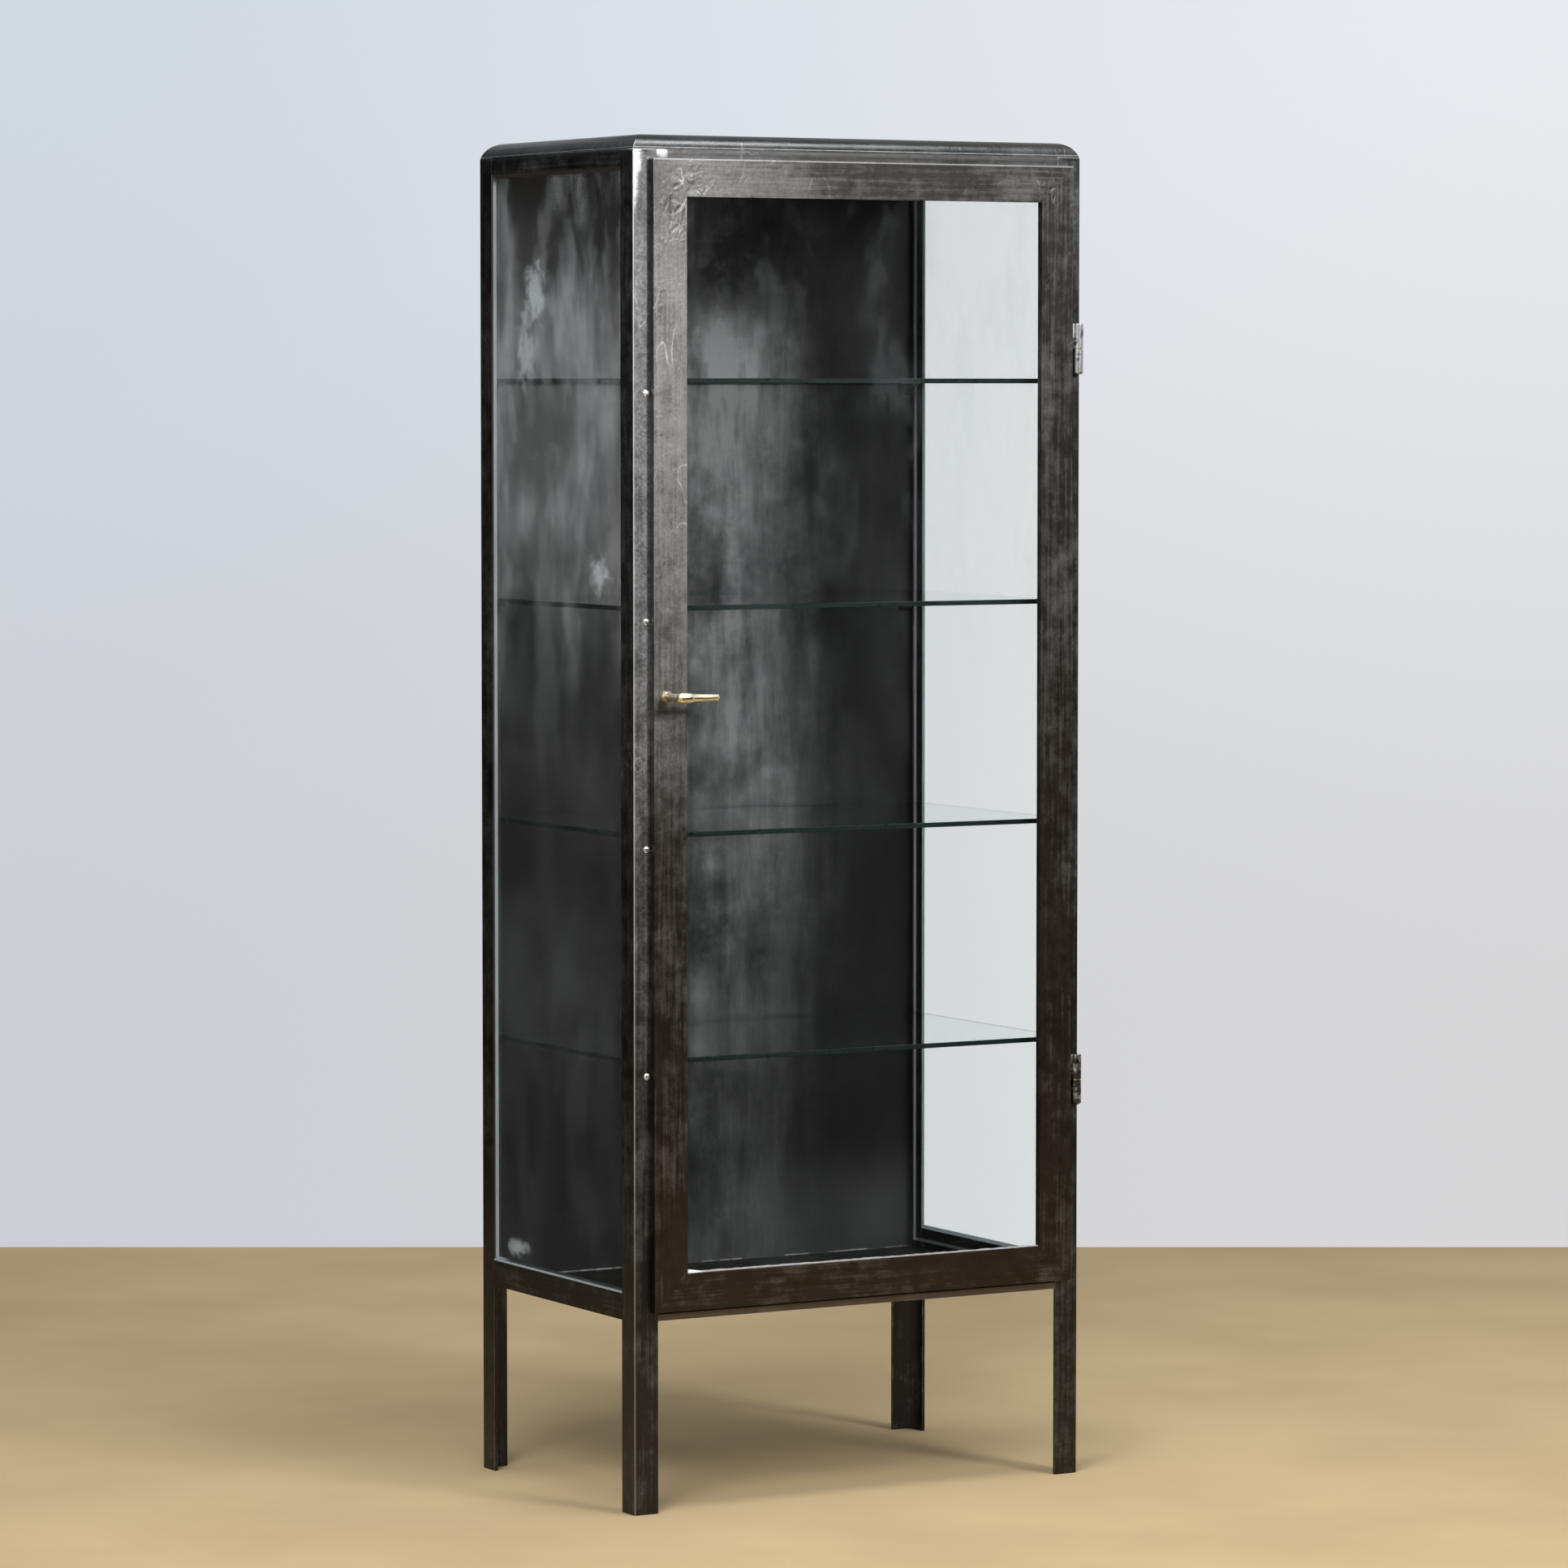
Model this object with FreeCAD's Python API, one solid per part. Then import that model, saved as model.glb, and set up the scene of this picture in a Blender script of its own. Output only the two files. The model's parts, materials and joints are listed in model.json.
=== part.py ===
import FreeCAD, Part
import math
import os
from FreeCAD import Vector

# Vintage steel and glass medicine cabinet: an angle-steel frame on its own legs, a rounded sheet
# top, glazed sides, a sheet back and floor, four glass shelves and one glazed door.
# Millimetres. +Z up, the front faces -Y, the hinges are on the +X side.
# The origin is on the floor, under the middle of the overall box, handle included.

# Overall size of the frame
cabinet_width = 625.0
cabinet_depth = 400.0
cabinet_height = 1650.0
underside_height = 233.0      # floor to the lower rails

# Shared clearances
cut_overrun = 5.0             # a cutting tool runs this far past the faces that it cuts
sheet_clearance = 0.3         # beside a sheet, pane or strip that is laid in a frame
hole_clearance = 0.1          # round a screw, on the radius
running_clearance = 0.05      # round a turning shaft, on the radius

# Rolled angle of the uprights and rails
angle_leg = 32.0
angle_thickness = 4.0
angle_corner_radius = 2.0
side_top_rail_height = 20.5

# Rounded sheet top
cap_radius = 24.0
cap_lip_drop = 18.0           # top of the cabinet to the lower rim of the sheet
cap_sheet = 1.5

# Sheet floor and back
floor_sheet = 1.5
back_sheet = 1.2

# Fixed side panes, bedded and puttied
side_pane_thickness = 4.0
side_pane_edge = 13.0         # pane hidden behind the angles at its sides and foot
bed_width = 4.0               # bedding round the edge of the pane
putty_width = 5.0             # sloped putty on the face of the pane

# Shelves
shelf_count = 4
shelf_thickness = 6.0
lowest_shelf_top = 546.0
shelf_pitch = 271.6
shelf_side_gap = 12.5         # from the outer face of the frame
shelf_front_gap = 20.0
shelf_rear_gap = 12.0

# Shelf brackets: bent strip, one at each corner of each shelf
bracket_width = 16.0
bracket_thickness = 3.0       # thick enough to be tapped for its screw
bracket_drop = 19.0           # upright leg
bracket_reach = 26.0          # leg under the shelf
bracket_bend_chamfer = 1.5    # outside of the bend
bracket_corner_chamfer = 4.0  # plan corners of the leg under the shelf
bracket_screw_inset = 17.0    # from the outer corner of the frame
bracket_screw_drop = 12.0     # below the shelf

# Bracket screws, driven from outside into the tapped brackets
screw_radius = 2.0
screw_head_radius = 4.5
screw_head_height = 2.6
screw_head_chamfer = 1.0
screw_tail = 1.5              # screw that stands past the bracket
fastener_side_count = 10      # flat sides of the small screws and of their holes

# Door: folded sheet frame with mitred corners, standing proud of the uprights
door_latch_margin = 22.5      # frame left bare beside the latch stile
door_hinge_margin = 16.0      # frame left bare beside the hinge stile
door_top_drop = 29.0          # top of the cabinet to the top of the door
door_bottom_lift = 11.0       # lower rails' underside to the bottom of the door
door_gap = 0.6                # frame to the back of the door
door_depth = 9.0
door_sheet = 1.5
door_member_width = 45.0
door_seat_depth = 5.0         # door face to the front of its pane
door_seat_width = 18.0        # flange that the pane and its beads lie on
door_pane_thickness = 4.0
door_pane_edge = 9.0          # pane hidden behind the seat flange
door_bead_width = 16.0
door_bead_cover = 2.0         # bead behind the pane

# Screws of the door beads
bead_screw_radius = 1.5
bead_screw_head_radius = 2.8
bead_screw_head_height = 1.2
upright_bead_screw_count = 4
level_bead_screw_count = 2
bead_screw_end_share = 0.08   # first screw from the end of the opening, of its length

# Lift-off hinges
lower_hinge_lift = 249.0         # bottom of the door to where the two barrel halves meet
upper_hinge_drop = 224.5         # top of the door to where the two barrel halves meet
hinge_inset = 6.5                # barrel axis from the outer side of the frame
barrel_radius = 6.5
barrel_half_length = 30.5
barrel_end_chamfer = 2.0
hinge_pin_radius = 4.0
hinge_pin_seat = 20.0            # pin held in the frame half
hinge_pin_reach = 24.0           # pin standing in the door half
hinge_pin_seat_clearance = 0.02
hinge_washer_thickness = 1.0
hinge_washer_rim = 0.3           # barrel left bare round the washer
hinge_lift_clearance = 0.1       # washer to the door half
hinge_foot_width = 9.0
hinge_leaf_thickness = 3.0

# Lever handle and its turning latch
handle_height = 982.0
handle_inset = 17.0              # from the edge of the door
rose_radius = 7.5
rose_thickness = 2.0
rose_collar_radius = 5.6
rose_collar_length = 3.0
bush_radius = 6.0
bush_length = 7.0                # behind the sheet of the stile
bush_nut_flats = 15.0
bush_nut_height = 3.0
spindle_radius = 3.5
spindle_lever_depth = 22.0       # spindle held in the lever
spindle_tail = 1.5               # spindle past the latch nut
lever_stand_off = 36.6           # door face to the middle of the lever
lever_shoulder_gap = 0.3
lever_neck_radius = 4.6
lever_boss_radius = 6.4
lever_boss_length = 14.5         # spindle axis to the step down to the arm
lever_boss_chamfer = 3.0         # at the closed end of the boss
lever_length = 50.0              # spindle axis to the tip
lever_arm_radius = 4.4
latch_clearance = 0.6            # back of the upright to the latch tongue
latch_thickness = 3.0
latch_width = 12.0
latch_length = 27.0              # spindle axis to the end of the tongue
latch_nut_flats = 10.0
latch_nut_height = 4.0

# Places worked out from the sizes above
half_width = cabinet_width / 2
half_depth = cabinet_depth / 2
lip_height = cabinet_height - cap_lip_drop
inner_half_width = half_width - angle_thickness
inner_half_depth = half_depth - angle_thickness
opening_half_width = half_width - angle_leg
opening_half_depth = half_depth - angle_leg
floor_top = underside_height + angle_thickness + floor_sheet
side_opening_bottom = underside_height + angle_leg
side_opening_top = lip_height - side_top_rail_height

door_left = -half_width + door_latch_margin
door_right = half_width - door_hinge_margin
door_bottom = underside_height + door_bottom_lift
door_top = cabinet_height - door_top_drop
door_back = -half_depth - door_gap
door_face = door_back - door_depth

hinge_x = half_width - hinge_inset
hinge_y = -half_depth - barrel_radius
hinge_levels = [door_bottom + lower_hinge_lift, door_top - upper_hinge_drop]

handle_x = door_left + handle_inset
lever_y = door_face - lever_stand_off
rose_front = door_face - rose_thickness - rose_collar_length
latch_front = -inner_half_depth + latch_clearance
latch_back = latch_front + latch_thickness

# The pieces are drawn round the middle of the frame and written round the middle of the whole
overall_front = lever_y - lever_boss_radius
overall_rear = half_depth + screw_head_height
centring = (overall_front + overall_rear) / 2

X = Vector(1, 0, 0)
Y = Vector(0, 1, 0)
Z = Vector(0, 0, 1)

os.makedirs("parts", exist_ok=True)


def box(x_range, y_range, z_range):
    """A block between two limits on each axis."""
    low = Vector(min(x_range), min(y_range), min(z_range))
    high = Vector(max(x_range), max(y_range), max(z_range))
    size = high - low
    return Part.makeBox(size.x, size.y, size.z, low)


def face_of(points):
    """A flat face inside a closed outline of straight sides."""
    return Part.Face(Part.makePolygon(points + points[:1]))


def rod(radius, start, direction, length):
    """A cylinder from a point along a direction."""
    return Part.makeCylinder(radius, length, start, direction)


def turned(outline, start, direction):
    """A turned solid: (radius, distance) points swept round an axis from start."""
    side = Z.cross(direction) if abs(direction.z) < math.cos(math.pi / 4) else X
    points = [start + side * radius + direction * along for radius, along in outline]
    return face_of(points).revolve(start, direction, 360)


def faceted(sections, start, direction):
    """A turned form drawn with flat sides through (radius, distance) sections from start."""
    side = Z.cross(direction)
    up = direction.cross(side)
    rings = []
    for radius, along in sections:
        corners = []
        for index in range(fastener_side_count):
            turn = index * 2 * math.pi / fastener_side_count
            offset = side * (radius * math.cos(turn)) + up * (radius * math.sin(turn))
            corners.append(start + direction * along + offset)
        rings.append(Part.makePolygon(corners + corners[:1]))
    return Part.makeLoft(rings, True, True)


def hexagon_nut(flats, height, bore, start, direction):
    """A hexagon nut that grows along a direction, with a plain hole."""
    reach = flats / 2 / math.cos(math.pi / 6)
    side = Z.cross(direction)
    up = direction.cross(side)
    corners = []
    for index in range(6):
        turn = index * math.pi / 3
        corners.append(start + side * (reach * math.cos(turn)) + up * (reach * math.sin(turn)))
    nut = face_of(corners).extrude(direction * height)
    hole = rod(bore, start - direction * cut_overrun, direction, height + 2 * cut_overrun)
    return nut.cut(hole)


def drilled(piece, radius, centres, direction, reach):
    """The piece with round holes through it, each running both ways from its centre."""
    holes = [rod(radius, centre - direction * reach, direction, 2 * reach) for centre in centres]
    return piece.cut(holes)


def screw_holed(piece, radius, centres, reach):
    """The piece with flat-sided screw holes from front to back through it."""
    holes = [faceted([(radius, -reach), (radius, reach)], centre, Y) for centre in centres]
    return piece.cut(holes)


def export(name, piece):
    """Write one piece, or a group of separate like pieces."""
    shape = Part.makeCompound(piece) if isinstance(piece, list) else piece
    shape.translated(Vector(0, -centring, 0)).exportStep("parts/" + name + ".step")


# Shelf levels and the screws that hold the brackets
shelf_tops = [lowest_shelf_top + index * shelf_pitch for index in range(shelf_count)]
shelf_undersides = [top - shelf_thickness for top in shelf_tops]
bracket_screw_x = half_width - bracket_screw_inset
bracket_screw_levels = [underside - bracket_screw_drop for underside in shelf_undersides]


def bracket_screw_centres(x_side, y_side):
    """Screw centres on the outer face of one upright."""
    x = x_side * bracket_screw_x
    return [Vector(x, y_side * half_depth, level) for level in bracket_screw_levels]


# Outer form: a block from the ground to the top, rounded along its four upper edges
def arched_bar(across, along, span, length, radius, top):
    """A long bar standing on the ground, with both of its upper edges rounded."""
    def at(offset, level):
        return across * offset + along * (-length / 2) + Z * level

    half = span / 2
    bend = radius * (1 - math.sin(math.pi / 4))
    sides = [
        Part.LineSegment(at(-half + radius, top), at(half - radius, top)),
        Part.Arc(at(half - radius, top), at(half - bend, top - bend), at(half, top - radius)),
        Part.LineSegment(at(half, top - radius), at(half, 0)),
        Part.LineSegment(at(half, 0), at(-half, 0)),
        Part.LineSegment(at(-half, 0), at(-half, top - radius)),
        Part.Arc(at(-half, top - radius), at(-half + bend, top - bend), at(-half + radius, top)),
    ]
    return Part.Face(Part.Wire([side.toShape() for side in sides])).extrude(along * length)


def rounded_block(inset):
    """The whole outer form, drawn in by an inset on its upper face and sides."""
    width = cabinet_width - 2 * inset
    depth = cabinet_depth - 2 * inset
    radius = cap_radius - inset
    top = cabinet_height - inset
    lengthwise = arched_bar(Y, X, depth, width, radius, top)
    crosswise = arched_bar(X, Y, width, depth, radius, top)
    return lengthwise.common(crosswise)


outer_form = rounded_block(0)


# Uprights: full-height angles whose lower ends are the legs
def upright(x_side, y_side):
    def at(across, along):
        return Vector(x_side * (half_width - across), y_side * (half_depth - along), 0)

    leg = angle_leg
    wall = angle_thickness
    radius = angle_corner_radius
    arc_middle = radius * (1 - math.sin(math.pi / 4))
    front = [at(radius, 0), at(leg, 0), at(leg, wall), at(wall, wall)]
    outline = front + [at(wall, leg), at(0, leg), at(0, radius)]
    edges = [Part.LineSegment(first, second).toShape() for first, second in zip(outline, outline[1:])]
    edges.append(Part.Arc(outline[-1], at(arc_middle, arc_middle), outline[0]).toShape())
    bar = Part.Face(Part.Wire(edges)).extrude(Z * lip_height).common(outer_form)
    centres = bracket_screw_centres(x_side, y_side)
    return screw_holed(bar, screw_radius + hole_clearance, centres, angle_thickness + cut_overrun)


front_right_upright = upright(1, -1)
sunk_heads = []
for centre in bracket_screw_centres(1, -1):
    sunk_heads.append(faceted([(screw_head_radius, 0), (screw_radius, screw_head_height)], centre, Y))
front_right_upright = front_right_upright.cut(sunk_heads)

export("upright_front_left", upright(-1, -1))
export("upright_front_right", front_right_upright)
export("upright_rear_left", upright(-1, 1))
export("upright_rear_right", upright(1, 1))


# Rails: angles that butt against the edges of the uprights
def rail(side, edge_level, growth, height):
    """An angle with its upright leg outside; growth is +1 from its lower edge, -1 from its upper."""
    def at(inward, rise):
        level = edge_level + growth * rise
        if side == "front":
            return Vector(-opening_half_width, -half_depth + inward, level)
        if side == "rear":
            return Vector(-opening_half_width, half_depth - inward, level)
        if side == "left":
            return Vector(-half_width + inward, -opening_half_depth, level)
        return Vector(half_width - inward, -opening_half_depth, level)

    wall = angle_thickness
    ledge = min(angle_leg, height)
    outline = [at(0, 0), at(ledge, 0), at(ledge, wall), at(wall, wall), at(wall, height), at(0, height)]
    run = X * (2 * opening_half_width) if side in ("front", "rear") else Y * (2 * opening_half_depth)
    return face_of(outline).extrude(run)


export("bottom_rail_front", rail("front", underside_height, 1, angle_leg))
export("bottom_rail_left", rail("left", underside_height, 1, angle_leg))
export("bottom_rail_right", rail("right", underside_height, 1, angle_leg))
export("bottom_rail_rear", rail("rear", underside_height, 1, angle_leg))
export("top_rail_front", rail("front", lip_height, -1, angle_leg).common(outer_form))
export("top_rail_left", rail("left", lip_height, -1, side_top_rail_height).common(outer_form))
export("top_rail_right", rail("right", lip_height, -1, side_top_rail_height).common(outer_form))
export("top_rail_rear", rail("rear", lip_height, -1, angle_leg).common(outer_form))


# Top: sheet rounded over along all four edges, with mitred corners
below_lip = box((-cabinet_width, cabinet_width), (-cabinet_depth, cabinet_depth), (0, lip_height))
export("top_cap", outer_form.cut(rounded_block(cap_sheet)).cut(below_lip))

# Back: a sheet welded inside the rear uprights and rails, standing on the rear rail's level leg
ledge_top = underside_height + angle_thickness
sheet_half_width = inner_half_width - sheet_clearance
back_front = inner_half_depth - back_sheet
back_range = (ledge_top, lip_height - angle_thickness - sheet_clearance)
back_panel = box((-sheet_half_width, sheet_half_width), (back_front, inner_half_depth), back_range)
rear_centres = bracket_screw_centres(-1, 1) + bracket_screw_centres(1, 1)
screw_hole = screw_radius + hole_clearance
back_reach = half_depth - back_front + cut_overrun
export("back_panel", screw_holed(back_panel, screw_hole, rear_centres, back_reach))

# Floor: a sheet laid on the level legs of the lower rails, in front of the back
floor_y = (-inner_half_depth + sheet_clearance, back_front - sheet_clearance)
export("floor_panel", box((-sheet_half_width, sheet_half_width), floor_y, (ledge_top, floor_top)))

# Side panes, each bedded behind its four angles and puttied on the outside
pane_inner = inner_half_width - side_pane_thickness
bedding_top = lip_height - angle_thickness - sheet_clearance
pane_top_lap = bedding_top - bed_width - side_opening_top


def side_outline(x, margin, top_margin):
    """The four corners of the side opening at one x, widened by margins."""
    depth = opening_half_depth + margin
    low = side_opening_bottom - margin
    high = side_opening_top + top_margin
    corners = [(-depth, low), (depth, low), (depth, high), (-depth, high)]
    return [Vector(x, y, z) for y, z in corners]


def side_pane(side):
    outline = side_outline(side * pane_inner, side_pane_edge, pane_top_lap)
    return face_of(outline).extrude(X * (side * side_pane_thickness))


def side_bedding(side):
    """A strip of bedding round the edge of the pane."""
    outline = side_outline(side * pane_inner, side_pane_edge + bed_width, pane_top_lap + bed_width)
    return face_of(outline).extrude(X * (side * side_pane_thickness)).cut(side_pane(side))


def side_putty(side):
    """Putty sloped from the edge of the angles down to the face of the pane."""
    inner = inner_half_width * side
    outer = half_width * side
    whole = face_of(side_outline(inner, 0, 0)).extrude(X * (outer - inner))
    rims = []
    for x, margin in ((inner, -putty_width), (outer, 0)):
        corners = side_outline(x, margin, margin)
        rims.append(Part.makePolygon(corners + corners[:1]))
    return whole.cut(Part.makeLoft(rims, True, True))


for name, side in (("left", -1), ("right", 1)):
    export("side_glass_" + name, side_pane(side))
    export("side_bedding_" + name, side_bedding(side))
    export("side_putty_" + name, side_putty(side))

# Glass shelves, resting on their brackets
shelf_x = (-half_width + shelf_side_gap, half_width - shelf_side_gap)
shelf_y = (-half_depth + shelf_front_gap, half_depth - shelf_rear_gap)
for index, underside in enumerate(shelf_undersides):
    export("shelf_%d" % (index + 1), box(shelf_x, shelf_y, (underside, underside + shelf_thickness)))


# Shelf brackets: a strip bent to an angle, against the front or rear wall
def bracket(x_side, y_side, wall_y, underside):
    middle = x_side * bracket_screw_x

    def at(inward, drop):
        return Vector(middle - bracket_width / 2, wall_y - y_side * inward, underside - drop)

    def in_plan(inward, across):
        return Vector(middle + across, wall_y - y_side * inward, underside)

    thick = bracket_thickness
    bend = bracket_bend_chamfer
    leg = [at(bend, 0), at(bracket_reach, 0), at(bracket_reach, thick), at(thick, thick)]
    outline = leg + [at(thick, bracket_drop), at(0, bracket_drop), at(0, bend)]
    strip = face_of(outline).extrude(X * bracket_width)
    half = bracket_width / 2
    corners = []
    for side in (-half, half):
        near = side * (1 - bracket_corner_chamfer / half)
        clip = [
            in_plan(bracket_reach, near),
            in_plan(bracket_reach, side),
            in_plan(bracket_reach - bracket_corner_chamfer, side),
        ]
        corners.append(face_of(clip).extrude(Z * -thick))
    strip = strip.cut(corners)
    centre = Vector(middle, wall_y, underside - bracket_screw_drop)
    return screw_holed(strip, screw_hole, [centre], bracket_thickness + cut_overrun)


front_brackets = []
rear_brackets = []
for underside in shelf_undersides:
    for x_side in (-1, 1):
        front_brackets.append(bracket(x_side, -1, -inner_half_depth, underside))
        rear_brackets.append(bracket(x_side, 1, back_front, underside))
export("shelf_brackets_front", front_brackets)
export("shelf_brackets_rear", rear_brackets)


# Bracket screws: pan heads outside, but sunk heads under the hinge stile of the door
def pan_screw(centre, inward, grip):
    cheek = screw_head_chamfer - screw_head_height
    crown_radius = screw_head_radius - screw_head_chamfer
    crown = [(crown_radius, -screw_head_height), (screw_head_radius, cheek), (screw_head_radius, 0)]
    shank = [(screw_radius, 0), (screw_radius, grip + screw_tail)]
    return faceted(crown, centre, inward).fuse(faceted(shank, centre, inward))


def sunk_screw(centre, inward, grip):
    sunk = [(screw_head_radius, 0), (screw_radius, screw_head_height), (screw_radius, grip + screw_tail)]
    return faceted(sunk, centre, inward)


front_grip = angle_thickness + bracket_thickness
rear_grip = front_grip + back_sheet
left_centres = bracket_screw_centres(-1, -1)
right_centres = bracket_screw_centres(1, -1)
export("bracket_screws_front_left", [pan_screw(centre, Y, front_grip) for centre in left_centres])
export("bracket_screws_front_right", [sunk_screw(centre, Y, front_grip) for centre in right_centres])
export("bracket_screws_rear", [pan_screw(centre, -Y, rear_grip) for centre in rear_centres])

# Door frame: face, edge returns and glass seat folded from one sheet, drawn as rings round the
# opening and parted at the mitres
opening_left = door_left + door_member_width
opening_right = door_right - door_member_width
opening_bottom = door_bottom + door_member_width
opening_top = door_top - door_member_width


def door_block(margin, near, far):
    """A block over the door opening widened by a margin, between two depths behind the face."""
    x_range = (opening_left - margin, opening_right + margin)
    z_range = (opening_bottom - margin, opening_top + margin)
    return box(x_range, (door_face + near, door_face + far), z_range)


def door_ring(inner, outer, near, far):
    """A ring round the door opening, between two margins and two depths."""
    return door_block(outer, near, far).cut(door_block(inner, near, far))


def door_sector(which):
    """The share of the frame that belongs to one member, bounded by the mitres."""
    outer = [
        (door_left, door_bottom),
        (door_right, door_bottom),
        (door_right, door_top),
        (door_left, door_top),
    ]
    inner = [
        (opening_left, opening_bottom),
        (opening_right, opening_bottom),
        (opening_right, opening_top),
        (opening_left, opening_top),
    ]
    first = ("bottom", "right", "top", "left").index(which)
    second = (first + 1) % len(outer)
    ring = [outer[first], outer[second], inner[second], inner[first]]
    start = door_face - cut_overrun
    points = [Vector(x, start, z) for x, z in ring]
    return face_of(points).extrude(Y * (door_depth + door_bead_cover + 2 * cut_overrun))


edge = door_member_width
door_frame = door_ring(0, edge, 0, door_sheet)
door_frame = door_frame.fuse([
    door_ring(edge - door_sheet, edge, 0, door_depth),
    door_ring(0, door_sheet, 0, door_seat_depth),
    door_ring(0, door_seat_width, door_seat_depth - door_sheet, door_seat_depth),
]).removeSplitter()

# Beads that hold the door pane from behind
pane_margin = door_pane_edge - sheet_clearance
pane_back = door_seat_depth + door_pane_thickness
bead_back = pane_back + door_bead_cover
door_beads = door_block(door_bead_width, door_seat_depth, bead_back)
door_beads = door_beads.cut([
    door_block(door_pane_edge, door_seat_depth, pane_back),
    door_block(0, pane_back, bead_back),
])

# Screws of the beads, down the middle of the part that bears on the seat
bead_screw_margin = (door_pane_edge + door_bead_width) / 2


def spaced(start, end, count):
    """Places along a bead, the outer two a share of its length from its ends."""
    inset = (end - start) * bead_screw_end_share
    step = (end - start - 2 * inset) / (count - 1)
    return [start + inset + index * step for index in range(count)]


bead_centres = []
for level in spaced(opening_bottom, opening_top, upright_bead_screw_count):
    bead_centres.append(Vector(opening_left - bead_screw_margin, door_face + bead_back, level))
    bead_centres.append(Vector(opening_right + bead_screw_margin, door_face + bead_back, level))
for place in spaced(opening_left, opening_right, level_bead_screw_count):
    bead_centres.append(Vector(place, door_face + bead_back, opening_bottom - bead_screw_margin))
    bead_centres.append(Vector(place, door_face + bead_back, opening_top + bead_screw_margin))

bead_hole = bead_screw_radius + hole_clearance
seat_grip = bead_back - door_seat_depth + door_sheet
bead_reach = seat_grip + door_sheet / 2
door_beads = screw_holed(door_beads, bead_hole, bead_centres, bead_reach)
door_frame = screw_holed(door_frame, bead_hole, bead_centres, bead_reach)
handle_centre = Vector(handle_x, door_face, handle_height)
bush_hole = bush_radius + hole_clearance
door_frame = drilled(door_frame, bush_hole, [handle_centre], Y, door_sheet + door_sheet / 2)

for which, member in (("left", "stile"), ("right", "stile"), ("top", "rail"), ("bottom", "rail")):
    sector = door_sector(which)
    export("door_%s_%s" % (member, which), door_frame.common(sector))
    export("door_bead_%s" % which, door_beads.common(sector))

export("door_glass", door_block(pane_margin, door_seat_depth, pane_back))


def bead_screw(centre):
    head = [(bead_screw_radius, -bead_screw_head_height), (bead_screw_head_radius, 0)]
    shank = [(bead_screw_radius, 0), (bead_screw_radius, seat_grip)]
    return faceted(head, centre, -Y).fuse(faceted(shank, centre, -Y))


export("door_bead_screws", [bead_screw(centre) for centre in bead_centres])


# Lift-off hinges: the lower half on the upright carries the pin, the upper half is on the door
def hinge_point(level):
    return Vector(hinge_x, hinge_y, level)


def frame_half(meeting):
    bottom = meeting - barrel_half_length
    end_radius = barrel_radius - barrel_end_chamfer
    outline = [
        (0, 0),
        (end_radius, 0),
        (barrel_radius, barrel_end_chamfer),
        (barrel_radius, barrel_half_length),
        (0, barrel_half_length),
    ]
    barrel = turned(outline, hinge_point(bottom), Z)
    foot_x = (hinge_x - hinge_foot_width / 2, hinge_x + hinge_foot_width / 2)
    foot = box(foot_x, (hinge_y, -half_depth), (bottom + barrel_end_chamfer, meeting))
    half = barrel.fuse(foot).removeSplitter()
    bore = hinge_pin_radius + hinge_pin_seat_clearance
    return half.cut(rod(bore, hinge_point(meeting - hinge_pin_seat), Z, hinge_pin_seat + cut_overrun))


def door_half(meeting):
    bottom = meeting + hinge_washer_thickness + hinge_lift_clearance
    top = bottom + barrel_half_length
    barrel = rod(barrel_radius, hinge_point(bottom), Z, barrel_half_length)
    leaf_y = (hinge_y - hinge_leaf_thickness / 2, hinge_y + hinge_leaf_thickness / 2)
    leaf = box((door_right, hinge_x), leaf_y, (bottom, top))
    half = barrel.fuse(leaf).removeSplitter()
    bore = hinge_pin_radius + running_clearance
    depth = hinge_pin_reach + hinge_lift_clearance
    return half.cut(rod(bore, hinge_point(bottom - cut_overrun), Z, depth + cut_overrun))


washers = []
pin_length = hinge_pin_seat + hinge_washer_thickness + hinge_pin_reach
washer_bore = hinge_pin_radius + running_clearance
for name, meeting in zip(("lower", "upper"), hinge_levels):
    export("hinge_frame_half_" + name, frame_half(meeting))
    export("hinge_door_half_" + name, door_half(meeting))
    pin = rod(hinge_pin_radius, hinge_point(meeting - hinge_pin_seat), Z, pin_length)
    export("hinge_pin_" + name, pin)
    washer = rod(barrel_radius - hinge_washer_rim, hinge_point(meeting), Z, hinge_washer_thickness)
    washer_reach = hinge_washer_thickness + cut_overrun
    washers.append(drilled(washer, washer_bore, [hinge_point(meeting)], Z, washer_reach))
export("hinge_washers", washers)

# Handle rose: a collar on the face of the stile with a bush through it, held by a nut behind
spindle_bore = spindle_radius + running_clearance
bush_end = rose_thickness + rose_collar_length + door_sheet + bush_length
rose_seat = rose_collar_length + rose_thickness
rose_outline = [
    (spindle_bore, 0),
    (rose_collar_radius, 0),
    (rose_collar_radius, rose_collar_length),
    (rose_radius, rose_collar_length),
    (rose_radius, rose_seat),
    (bush_radius, rose_seat),
    (bush_radius, bush_end),
    (spindle_bore, bush_end),
]
rose_start = Vector(handle_x, rose_front, handle_height)
export("handle_rose", turned(rose_outline, rose_start, Y))
bush_nut_start = Vector(handle_x, door_face + door_sheet, handle_height)
bush_nut_bore = bush_radius + hole_clearance
export("handle_bush_nut", hexagon_nut(bush_nut_flats, bush_nut_height, bush_nut_bore, bush_nut_start, Y))


# Lever: a neck from the rose, and a boss with a round arm that points across the door
def handle_point(y):
    return Vector(handle_x, y, handle_height)


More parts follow.
